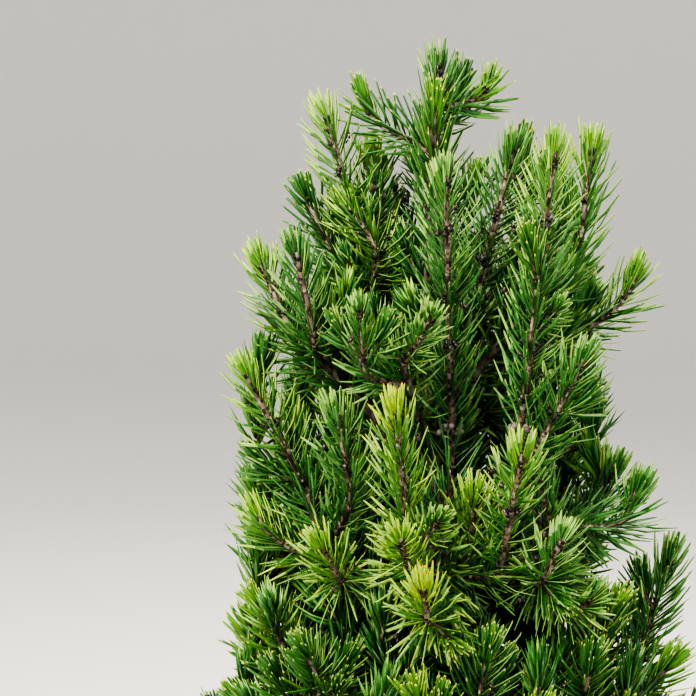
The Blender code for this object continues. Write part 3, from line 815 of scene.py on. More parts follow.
@dataclass
class GrowthRule:
    """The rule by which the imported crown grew: its outline, its tiers of masses, the spread of its shoots."""

    # Height, and how far the needle tips reach from the axis there
    outline: tuple = (
        (113 * MM, 50 * MM),
        (130 * MM, 64 * MM),
        (165 * MM, 73 * MM),
        (205 * MM, 71 * MM),
        (249 * MM, 62 * MM),
        (290 * MM, 59 * MM),
        (318 * MM, 54 * MM),
        (338 * MM, 45 * MM),
        (358 * MM, 38 * MM),
        (372 * MM, 24 * MM),
        (382 * MM, 6 * MM),
    )
    # Each tier's height, how many masses it has, and the azimuth of the first in degrees
    tiers: tuple = (
        (138 * MM, 5, -90),
        (182 * MM, 5, -54),
        (225 * MM, 5, -90),
        (266 * MM, 6, -90),
        (324 * MM, 6, -100),
        (360 * MM, 1, 0),
    )
    # Shoots that face the viewer in the upper crown: end and foot, in millimetres right, back and up.
    # Which of them are flushing and which are small follows by number
    front: tuple = (
        ((-50, -10, 299), (-37, -7, 274)), ((-38, -8, 328), (-34, -5, 308)),
        ((-47, 12, 324), (-38, 8, 303)), ((-26, 12, 338), (-20, 9, 330)),
        ((-31, 18, 360), (-26, 16, 342)), ((-18, 24, 347), (-19, 20, 335)),
        ((-3, -18, 346), (-1, -8, 286)), ((-4, 6, 372), (-2, 5, 352)),
        ((8, 12, 367), (6, 10, 352)), ((-7, -28, 315), (-5, -18, 309)),
        ((14, 2, 352), (5, 1, 315)), ((22, -20, 352), (15, -15, 287)),
        ((34, 13, 352), (31, 11, 330)), ((44, 9, 321), (34, 7, 283)),
        ((23, -18, 316), (20, -11, 308)), ((29, -22, 304), (17, -15, 278)),
        ((14, -36, 284), (10, -27, 257)), ((-15, -38, 294), (-12, -30, 266)),
        ((-28, -28, 292), (-25, -22, 274)), ((-23, -22, 316), (-22, -17, 302)),
        ((-47, -14, 266), (-42, -12, 251)), ((43, -12, 272), (41, -11, 266)),
        ((53, 2, 253), (49, 2, 240)), ((-14, -46, 266), (-12, -36, 258)),
        ((-9, -50, 256), (-8, -44, 248)), ((3, -30, 273), (3, -22, 259)),
        ((-32, -33, 262), (-28, -28, 254)), ((39, 2, 274), (37, 2, 268)),
        ((23, -36, 264), (20, -31, 255)), ((30, -33, 250), (23, -26, 236)),
        ((25, -14, 334), (22, -10, 330)), ((-5, -46, 271), (-8, -38, 265)),
    )
    front_flushing: tuple[int, ...] = (17, 24)
    front_small: tuple[int, ...] = (5, 9, 14, 19, 30, 31)
    front_low: float = 246 * MM
    front_width: float = 0.42
    shoot_count: int = 204
    shoot_back: float = 24 * MM
    shoot_depth: float = 11 * MM
    long_shoot: float = 43 * MM
    # How a shoot leans from upright at the crown's foot and top, and by how much that varies, in degrees
    lean_foot: float = 62
    lean_top: float = 14
    lean_power: float = 0.7
    tilt: float = 8
    # How far a shoot turns from straight outwards, in radians
    turn: float = 0.25
    foot_margin: float = 5 * MM
    face_margin: float = 6 * MM
    face_steps: int = 200
    needle_reach: float = 9.5 * MM
    tuft_reach: float = 8.5 * MM
    seed_reach: float = 0.56
    height_weight: float = 0.62
    bough_reach: float = 0.55
    bough_drop: float = 15 * MM
    bough_rise: float = 0.62
    bough_stagger: float = 3 * MM
    bough_lowest: float = 19 * MM
    bough_foot: float = 9 * MM
    bough_bow: float = 1.5 * MM
    bough_bend: float = 0.35
    bough_end: float = 5 * MM
    bough_radius: float = 2.4 * MM
    bough_to_trunk: float = 0.6
    bough_taper: float = 0.7
    stem_taper: float = 0.65
    stem_span: Pair = (0.22, 0.95)
    # How much a shoot starts towards its end and how much outwards, and where its bends lie
    start_pull: Pair = (1.2, 0.5)
    start_bend: float = 0.3
    end_bend: float = 0.36
    leader_top: float = 363 * MM
    bend_room: float = 6 * MM
    steps: int = 28
    seed: int = 11
    trunk: TrunkLine = field(default_factory=TrunkLine)

    def crown_radius(self, height: float) -> float:
        """How far the needle tips reach from the axis at a height."""
        heights, radii = zip(*self.outline)
        return float(np.interp(height, heights, radii))

    def axis(self, height: float) -> Vector:
        """The trunk's axis at a height, or over its tip."""
        point = self.trunk.point(min(height, self.trunk.tip))
        return Vector((point.x, point.y, height))

    def spread_shoots(self) -> list[Shoot]:
        """Shoots spread evenly over the crown's face, apart from the part that the front shoots fill.

        Returns:
            The shoots.
        """
        draw = random.Random(self.seed)
        foot, top = self.outline[0][0], self.outline[-1][0]
        heights = np.linspace(foot + self.foot_margin, top - self.needle_reach, self.face_steps)
        area = np.cumsum([self.crown_radius(h) + self.face_margin for h in heights])
        area /= area[-1]
        shoots = []
        for i in range(self.shoot_count):
            height = float(np.interp((i + 0.5) / self.shoot_count, area, heights))
            way = outward(i * GOLDEN_TURN)
            depth = self.shoot_depth * draw.random() ** 2
            tilt = draw.uniform(-self.tilt, self.tilt)
            turn = draw.uniform(-self.turn, self.turn)
            reach = self.crown_radius(height) - self.needle_reach - depth
            if (way.y < self.front_width and self.front_low < height) or reach < 0:
                continue
            share = (height - foot) / (top - foot)
            lean = math.radians(along(self.lean_foot, self.lean_top, share**self.lean_power) + tilt)
            level = outward(i * GOLDEN_TURN + turn)
            aim = (level * math.sin(lean) + UP * math.cos(lean)).normalized()
            shoots.append(Shoot(self.axis(height) + way * reach, aim))
        return shoots

    def front_shoots(self) -> list[Shoot]:
        """The shoots that face the viewer, in metres.

        Returns:
            The shoots.
        """
        shoots = []
        for i, (end, foot) in enumerate(self.front):
            end, foot = Vector(end) * MM, Vector(foot) * MM
            aim = (end - foot).normalized()
            shoots.append(Shoot(end, aim, foot, i in self.front_flushing, i in self.front_small))
        return shoots

    def inner_point(self, shoot: Shoot) -> Vector:
        """Where a shoot comes out of the depth of its mass."""
        return shoot.foot or shoot.end - shoot.aim * self.shoot_back

    def carried_point(self, shoot: Shoot) -> Vector:
        """The point that tells which mass a shoot belongs to: a long shoot's is its foot.

        Args:
            shoot: The shoot.

        Returns:
            The point.
        """
        if not shoot.foot:
            return shoot.end - shoot.aim * self.tuft_reach
        is_long = (shoot.end - shoot.foot).length > self.long_shoot
        return shoot.foot if is_long else shoot.end.lerp(shoot.foot, 0.5)

    def masses(self) -> list[Mass]:
        """Groups the shoots into masses and grows the limbs and shoots of each.

        Returns:
            The masses, from the lowest tier up.
        """
        middles = []
        for tier, (height, count, first) in enumerate(self.tiers):
            for i in range(count):
                way = outward(math.radians(first + 360 * i / count))
                reach = self.crown_radius(height) * self.seed_reach if count > 1 else 0.0
                mass = Mass(f"{tier + 1}_{i + 1}", (2 * i) % count * self.bough_stagger)
                middles.append((mass, self.axis(height) + way * reach))
        for shoot in self.front_shoots() + self.spread_shoots():
            carried = self.carried_point(shoot)
            nearest, _ = min(middles, key=lambda pair: self.weighted_distance(carried, pair[1]))
            nearest.shoots.append(shoot)
        grown = [mass for mass, _ in middles if mass.shoots]
        for mass in grown:
            self.grow_limbs(mass)
            self.grow_shoots(mass)
        return grown

    def weighted_distance(self, a: Vector, b: Vector) -> float:
        """Distance in which height counts less than a step to the side."""
        gap = a - b
        return Vector((gap.x, gap.y, gap.z * self.height_weight)).length

    def grow_limbs(self, mass: Mass) -> None:
        """Draws a mass's bough from the trunk's axis, and the stem that goes on from it.

        Args:
            mass: The mass with its shoots.
        """
        middle = sum((self.inner_point(shoot) for shoot in mass.shoots), Vector()) / len(mass.shoots)
        if mass.name.startswith(f"{len(self.tiers)}_"):
            start = self.trunk.point(self.trunk.tip)
            mass.stem = [start, Vector((start.x, start.y, self.leader_top))]
            mass.stem_radii = (self.trunk.tip_radius, self.trunk.tip_radius * self.stem_taper)
            return
        axis = self.axis(middle.z)
        level = Vector((middle.x - axis.x, middle.y - axis.y, 0))
        tip_height = max(middle.z - self.bough_drop, self.trunk.foot + self.bough_lowest)
        tip = Vector((axis.x, axis.y, tip_height)) + level * self.bough_reach
        foot_height = tip.z - self.bough_rise * level.length * self.bough_reach - mass.drop
        foot = self.trunk.point(max(foot_height, self.trunk.foot + self.bough_foot))
        way = (middle - tip).normalized()
        control = foot.lerp(tip, self.bough_bend) + level.normalized() * self.bough_bow
        mass.bough = bezier([foot, control, tip - way * self.bough_end, tip], self.steps)
        foot_radius = min(self.bough_radius, self.bough_to_trunk * self.trunk.radius(foot.z))
        mass.bough_radii = (foot_radius, foot_radius * self.bough_taper)
        mass.stem = [tip, middle]
        mass.stem_radii = (mass.bough_radii[1], mass.bough_radii[1] * self.stem_taper)

    def grow_shoots(self, mass: Mass) -> None:
        """Draws a mass's shoots. They leave the stem one above the other, the lowest first.

        Args:
            mass: The mass with its stem.
        """
        rise = mass.stem[-1] - mass.stem[0]
        to_end, to_side = self.start_pull
        mass.shoots.sort(key=lambda shoot: self.inner_point(shoot).dot(rise))
        for i, shoot in enumerate(mass.shoots):
            share = along(*self.stem_span, (i + 0.5) / len(mass.shoots))
            start = mass.stem[0].lerp(mass.stem[-1], share)
            by_foot = shoot.foot and (shoot.foot - start).dot(shoot.aim) > self.bend_room
            turn = shoot.foot if by_foot else shoot.end
            span = (turn - start).length
            level = start - self.axis(start.z)
            level.z = 0
            level = level.normalized() if level.length > MM else UP
            way = (turn - start).normalized()
            middle = start + (way * to_end + level * to_side).normalized() * span * self.start_bend
            curve = bezier([start, middle, turn - shoot.aim * self.end_bend * span, turn], self.steps)
            if by_foot:
                half = self.steps // 2
                curve += [shoot.foot.lerp(shoot.end, (k + 1) / half) for k in range(half)]
            shoot.path = curve


@dataclass
class FineGrowth:
    """Carries the rule on: side shoots from the nodes of each shoot, and buds where none has grown."""

    rule: GrowthRule
    # The nodes, from the tip down: where they lie, and what stands at each, near the viewer and far
    node_first: Pair = (12 * MM, 19 * MM)
    node_gap: Pair = (11 * MM, 17 * MM)
    node_last: float = 14 * MM
    nodes_most: int = 4
    node_buds: int = 4
    node_turn: float = 0.4
    node_reach: float = 1.2 * MM
    bud_chance: float = 0.4
    near_bud_chance: float = 0.75
    bud_group: int = 3
    bud_scatter: float = 0.6 * MM
    bud_sizes: Pair = (0.7, 1.15)
    bud_lean: float = 0.9
    bud_turn: float = 0.25
    bud_sunk: float = 0.9
    node_scales: int = 8
    far_node_scales: int = 2
    # The bud in the tuft, and the collar of scales below it: where, how many and how large
    tip_bud: Pair = (1.0 * MM, 0.7)
    collar: Pair = (0.8 * MM, 5.0 * MM)
    collar_scales: int = 12
    far_collar_scales: int = 5
    side_collar: Pair = (1.0 * MM, 2.6 * MM)
    side_collar_scales: int = 3
    small_scale: float = 0.8
    scale_leans: Pair = (0.2, 0.75)
    scale_sizes: Pair = (0.7, 1.25)
    scale_turn: float = 0.3
    scale_sunk: float = 0.8
    # The clumps of an old whorl, on shoots whose last year's growth is at least so long
    whorl_knobs: int = 18
    whorl_from: float = 30 * MM
    whorl_reach: float = 1.6 * MM
    whorl_scatter: tuple[float, float, float] = (0.744 * MM, 0.496 * MM, 0.496 * MM)
    knob_sizes: Pair = (0.8, 1.3)
    knob_turn: float = 0.5
    small_needles: float = 0.68
    # Side shoots
    side_needles: float = 0.86
    side_chance: float = 0.4
    front_side_chance: float = 0.12
    side_length: Pair = (8 * MM, 17 * MM)
    side_shortest: float = 5 * MM
    side_share: float = 0.75
    side_angle: Pair = (38, 56)
    side_closing: float = 0.55
    side_rise: float = 0.25
    old_share: float = 0.45
    old_chance: float = 0.5
    edge_room: float = 2 * MM
    shoot_radius: Pair = (0.92 * MM, 0.66 * MM)
    side_radius: Pair = (0.72 * MM, 0.52 * MM)
    room: float = 5 * MM
    # Short shoots from the limbs
    inner_room: float = 4.5 * MM
    inner_top: float = 346 * MM
    leader_foot: float = 322 * MM
    inner_tries: int = 70
    inner_span: Pair = (0.1, 0.98)
    inner_angle: Pair = (40, 80)
    inner_length: Pair = (11 * MM, 22 * MM)
    inner_rise: float = 2.6
    # Height, and how far towards the viewer the inner shoots may end there, behind those that face the viewer
    front_limit: tuple = ((236 * MM, -60 * MM), (260 * MM, -2 * MM))
    lit_from: float = 250 * MM
    # Shoots from the trunk, and those that fill what is still empty
    trunk_stretch: Pair = (190 * MM, 322 * MM)
    trunk_tries: int = 170
    filling_tries: int = 1500
    filling_depth: float = 15 * MM
    filling_room: float = 6.8 * MM
    filling_length: float = 30 * MM
    filling_sag: float = 0.3
    # Depths under the crown's face past which painted shade darkens the greens, to usual and then to inner
    shade_depths: Pair = (10 * MM, 30 * MM)
    lowest: float = 118 * MM
    flushing_chance: float = 0.06
    sunny_chance: float = 0.7
    far_sunny_chance: float = 0.45
    seed: int = 23

    def __post_init__(self) -> None:
        """Starts the seeded draw."""
        self.draw = np.random.default_rng(self.seed)
        self.buds: list[Scale] = []
        self.flakes: list[Scale] = []
        self.knobs: list[Scale] = []
        self.cloud = np.empty((0, 3))
        self.lit_face = self.front_limit[-1][1]

    def grow(self, masses: list[Mass]) -> dict[str, list[Twig]]:
        """Grows every mass's twigs.

        Args:
            masses: The masses with their shoots' lines.

        Returns:
            The twigs of each mass by its name.
        """
        grown = {}
        for mass in masses:
            grown[mass.name] = [self.main_twig(shoot) for shoot in mass.shoots]
        for twigs in grown.values():
            for twig in twigs:
                self.remember(twig.line)
        for twigs in grown.values():
            for twig in list(twigs):
                twigs += self.side_twigs(twig)
        for mass in masses:
            grown[mass.name] += self.inner_twigs(mass)
        grown[masses[-1].name] += self.filling_twigs()
        return grown

    def filling_twigs(self) -> list[Twig]:
        """Shoots that grow from the nearest wood up into what is still empty in the depth of the crown.

        Returns:
            The shoots.
        """
        grown = []
        for _ in range(self.filling_tries):
            height = self.draw.uniform(*self.trunk_stretch)
            level = outward(self.draw.uniform(0, math.tau))
            reach = (self.rule.crown_radius(height) - self.filling_depth) * math.sqrt(self.draw.random())
            end = np.array(self.rule.axis(height) + level * reach)
            if self.is_in_front(end[1], height) or self.nearest(end[None]) < self.filling_room:
                continue
            below = self.cloud[self.cloud[:, 2] < height - self.inner_length[0]]
            gaps = np.linalg.norm(below - end, axis=1)
            if gaps.min() > self.filling_length:
                continue
            root = below[gaps.argmin()]
            sag = np.array([0, 0, -self.filling_sag * gaps.min()])
            line = root + (end - root) * LINE_SHARES + sag * LINE_SHARES * (1 - LINE_SHARES)
            twig = Twig(line, *self.side_radius, self.vigour_by_light(end), is_side=True, is_inner=True)
            self.remember(line)
            grown.append(twig)
        return grown

    def trunk_line(self, low: float, high: float) -> np.ndarray:
        """Points on the trunk's axis between two heights."""
        return np.array([tuple(self.rule.axis(height)) for height in np.linspace(low, high, self.rule.steps)])

    def inner_twigs(self, mass: Mass) -> list[Twig]:
        """Needles on a mass's own limbs, and short shoots from them that fill the depth of the crown, darker in
        painted shade.

        Args:
            mass: The mass with its limbs' lines.

        Returns:
            The limbs, as twigs that bear needles, and the shoots.
        """
        if not mass.bough:
            line = self.trunk_line(self.leader_foot, self.rule.leader_top)
            leader = Twig(line, *self.shoot_radius, Vigour.SUNNY)
            self.set_tip_buds(leader)
            radii = map(self.rule.trunk.radius, self.trunk_stretch)
            limb = Twig(self.trunk_line(*self.trunk_stretch), *radii, Vigour.INNER, is_limb=True)
            return [leader, limb] + self.limb_twigs(limb, self.trunk_tries)
        # The bough's outer two thirds, and the stem
        stem = [mass.stem[0].lerp(mass.stem[1], k / 8) for k in range(1, 9)]
        line = np.array([tuple(point) for point in mass.bough[len(mass.bough) // 3 :] + stem])
        limb = Twig(line, *mass.stem_radii, Vigour.INNER, is_limb=True)
        return [limb] + self.limb_twigs(limb, self.inner_tries)

    def limb_twigs(self, limb: Twig, tries: int) -> list[Twig]:
        """Short shoots from a limb, wherever there is room for one.

        Args:
            limb: The limb.
            tries: How many places are tried.

        Returns:
            The shoots.
        """
        grown = []
        for _ in range(tries):
            point, way, side, over = limb.at_one(self.draw.uniform(*self.inner_span) * limb.length)
            turn = self.draw.uniform(0, math.tau)
            out = side * math.cos(turn) + over * math.sin(turn)
            angle = math.radians(self.draw.uniform(*self.inner_angle))
            length = self.draw.uniform(*self.inner_length)
            first = way * math.cos(angle) + out * math.sin(angle)
            line = bent(point, first, unit(first + np.array([0, 0, self.inner_rise])), length)
            if self.is_clear(line, limb.line):
                twig = Twig(line, *self.side_radius, self.vigour_by_light(line[-1]), is_side=True, is_inner=True)
                twig.needle_share = self.side_needles
                self.remember(line)
                self.set_tip_buds(twig)
                grown.append(twig)
        return grown

    def remember(self, line: np.ndarray) -> None:
        """Adds a shoot's points to those that later shoots keep away from."""
        self.cloud = np.concatenate([self.cloud, line])

    def nearest(self, points: np.ndarray) -> float:
        """Distance from some points to the nearest shoot that is remembered."""
        return float(min(np.linalg.norm(self.cloud - point, axis=1).min() for point in points))

    def reach(self, point: np.ndarray) -> float:
        """How far a point lies from the trunk's axis, measured level."""
        return math.hypot(*(point - np.array(self.rule.axis(point[2])))[:2])

    def is_in_front(self, depth: float, height: float) -> bool:
        """Whether a point stands where only the shoots that face the viewer do."""
        return depth < np.interp(height, *zip(*self.front_limit))

    def vigour_by_light(self, end: np.ndarray) -> Vigour:
        """Painted shade: darker greens the deeper a shoot ends under the crown's face, and painted light near
        it.

        Args:
            end: The shoot's tip.

        Returns:
            Its greens: sunny in painted light, usual, or inner in painted shade.
        """
        depth = self.rule.crown_radius(end[2]) - self.reach(end)
        if end[2] > self.lit_from:
            # The crown's upper part is open towards the viewer, so light falls on what stands further back
            depth = min(depth, end[1] - self.lit_face + self.room)
        near, deep = self.shade_depths
        if depth > deep:
            return Vigour.INNER
        return Vigour.USUAL if depth > near else Vigour.SUNNY

    def is_clear(self, line: np.ndarray, own: np.ndarray) -> bool:
        """Whether a new shoot's outer half keeps its distance from all others and stays in the crown.

        Args:
            line: The new shoot's points.
            own: The line of the limb that it grows on.

        Returns:
            True if it may grow.
        """
        end = line[-1]
        if self.reach(end) > self.rule.crown_radius(end[2]) - self.rule.needle_reach - self.edge_room:
            return False
        if end[2] > self.inner_top or line[:, 2].min() < self.lowest or self.is_in_front(end[1], end[2]):
            return False
        outer = line[len(line) // 2 + 1 :]
        return self.nearest(outer) > self.inner_room and np.linalg.norm(own - end, axis=1).min() > self.room

    def main_twig(self, shoot: Shoot) -> Twig:
        """A shoot of the rule as a twig.

        Args:
            shoot: The shoot.

        Returns:
            The twig.
        """
        chance = self.draw.random()
        is_flushing = shoot.is_flushing if shoot.foot else chance > 1 - self.flushing_chance
        # Sunny greens are painted light, given at random, and more often to the shoots that face the viewer
        is_sunny = chance < (self.sunny_chance if shoot.foot else self.far_sunny_chance)
        vigour = Vigour.SUNNY if is_sunny else Vigour.USUAL
        vigour = Vigour.FLUSHING if is_flushing else vigour
        line = np.array([tuple(point) for point in shoot.path])
        made = Twig(line, *self.shoot_radius, vigour, faces_viewer=shoot.foot is not None)
        if shoot.is_small:
            made.is_small, made.needle_share, made.vigour = True, self.small_needles, Vigour.USUAL
        if shoot.foot:
            made.open_stretch = (shoot.end - shoot.foot).length
        if made.open_stretch > self.whorl_from:
            made.foot = max(made.length - made.open_stretch, 0.0)
        return made

    def side_twigs(self, parent: Twig) -> list[Twig]:
        """Grows side shoots at a twig's nodes, and sets buds there and at its tip.

        Args:
            parent: The twig.

        Returns:
            Its side shoots.
        """
        grown = []
        is_near = parent.faces_viewer
        side_chance = self.front_side_chance if is_near else self.side_chance
        bud_chance = self.near_bud_chance if is_near else self.bud_chance
        scales = self.node_scales if is_near else self.far_node_scales
        place = parent.length - self.draw.uniform(*self.node_first)
        turn = self.draw.uniform(0, math.tau)
        self.set_tip_buds(parent)
        if is_near and parent.foot > 0:
            self.set_whorl(parent)
        for _ in range(self.nodes_most):
            if place < self.node_last:
                break
            point, way, side, over = parent.at_one(place)
            radius = float(parent.radius(np.array([place]))[0])
            from_tip = parent.length - place
            stretch = (from_tip - self.node_reach, from_tip + self.node_reach)
            self.set_flakes(parent, stretch, scales, self.small_scale)
            for k in range(self.node_buds):
                angle = turn + math.tau * k / self.node_buds
                angle += self.draw.uniform(-self.node_turn, self.node_turn)
                out = side * math.cos(angle) + over * math.sin(angle)
                twig = self.side_twig(parent, place, out)
                if self.draw.random() < side_chance and twig is not None:
                    self.remember(twig.line)
                    grown.append(twig)
                elif self.draw.random() < bud_chance:
                    self.set_node_buds(point + out * radius * self.bud_sunk, way, out, is_near)
            turn += math.pi / self.node_buds
            place -= self.draw.uniform(*self.node_gap)
        return grown

    def set_node_buds(self, point: np.ndarray, way: np.ndarray, out: np.ndarray, is_near: bool) -> None:
        """Sets the buds of one side of a node.

        Args:
            point: Where they stand.
            way: The twig's direction there.
            out: The direction out of the twig.
            is_near: Whether the twig faces the viewer, so that a group of them shows.
        """
        for _ in range(self.bud_group if is_near else 1):
            root = point + self.draw.normal(0, self.bud_scatter, 3)
            size = self.draw.uniform(*self.bud_sizes)
            lean = self.bud_lean * way + out + self.draw.normal(0, self.bud_turn, 3)
            self.buds.append(Scale(root, lean, out, size))

    def set_tip_buds(self, twig: Twig) -> None:
        """Sets a small bud in the tuft at a twig's tip, and below it the dark collar of its scales.

        Args:
            twig: The twig.
        """
        tip, way, side = twig.line[-1], twig.ways[-1], twig.sides[-1]
        depth, size = self.tip_bud
        self.buds.append(Scale(tip - way * depth, way, side, size))
        if twig.is_side:
            self.set_flakes(twig, self.side_collar, self.side_collar_scales, self.small_scale)
        else:
            count = self.collar_scales if twig.faces_viewer else self.far_collar_scales
            self.set_flakes(twig, self.collar, count, 1.0)

    def set_flakes(self, twig: Twig, stretch: Pair, count: int, size: float) -> None:
        """Sets bud scales round a stretch of a twig.

        Args:
            twig: The twig.
            stretch: Where the stretch starts and ends, counted from the twig's tip.
            count: How many scales.
            size: Their size.
        """
        places = twig.length - self.draw.uniform(*stretch, count)
        points, ways, sides, overs = twig.at(places)
        turns = self.draw.uniform(0, math.tau) + GOLDEN_TURN * np.arange(count)
        turns = turns + self.draw.normal(0, self.scale_turn, count)
        outs = sides * np.cos(turns)[:, None] + overs * np.sin(turns)[:, None]
        leans = self.draw.uniform(*self.scale_leans, count)[:, None]
        sizes = size * self.draw.uniform(*self.scale_sizes, count)
        roots = points + outs * (self.scale_sunk * twig.radius(places))[:, None]
        for root, way, out, one in zip(roots, ways + outs * leans, outs, sizes):
            self.flakes.append(Scale(root, way, out, one))

    def set_whorl(self, twig: Twig) -> None:
        """Sets the grey knobs of an old whorl at a twig's foot, in a clump on either hand.

        Args:
            twig: The twig.
        """
        point, way, _, _ = twig.at_one(twig.foot)
        level = unit(np.cross(way, TO_VIEWER))
        for i in range(self.whorl_knobs):
            hand = 1 if i % 2 else -1
            # The clumps stand half as far towards the viewer, one a little higher than the other
            clump = hand * level + 0.5 * TO_VIEWER - 0.25 * hand * way
            root = point + self.whorl_reach * clump + self.draw.normal(0, self.whorl_scatter)
            out = unit(hand * level + self.draw.normal(0, self.knob_turn, 3))
            self.knobs.append(Scale(root, out, TO_VIEWER, self.draw.uniform(*self.knob_sizes)))

    def side_twig(self, parent: Twig, place: float, out: np.ndarray) -> Twig | None:
        """Draws one side shoot, or none where it would leave the crown or come too near another shoot.

        Args:
            parent: The twig that it grows on.
            place: The distance of its start from the parent's foot.
            out: The direction out of the parent.

        Returns:
            The side shoot or None.
        """
        point, way, _, _ = parent.at_one(place)
        angle = math.radians(self.draw.uniform(*self.side_angle))
        length = min(self.draw.uniform(*self.side_length), self.side_share * (parent.length - place))
        first = way * math.cos(angle) + out * math.sin(angle)
        closed = self.side_closing * angle
        last = way * math.cos(closed) + out * math.sin(closed) + np.array([0, 0, self.side_rise])
        line = bent(point, first, unit(last), length)
        end = line[-1]
        limit = self.rule.crown_radius(end[2]) - self.rule.needle_reach
        limit = max(limit, self.reach(parent.line[-1]) - self.edge_room)
        top = self.rule.outline[-1][0] - self.rule.needle_reach
        if length < self.side_shortest or self.reach(end) > limit or end[2] > top:
            return None
        if self.nearest(line[-1:]) < self.room:
            return None
        vigour = Vigour.SUNNY if parent.vigour is Vigour.FLUSHING else parent.vigour
        if place < self.old_share * parent.length:
            vigour = Vigour.INNER if self.draw.random() < self.old_chance else Vigour.USUAL
        made = Twig(line, *self.side_radius, vigour, is_side=True, needle_share=self.side_needles)
        self.set_tip_buds(made)
        return made


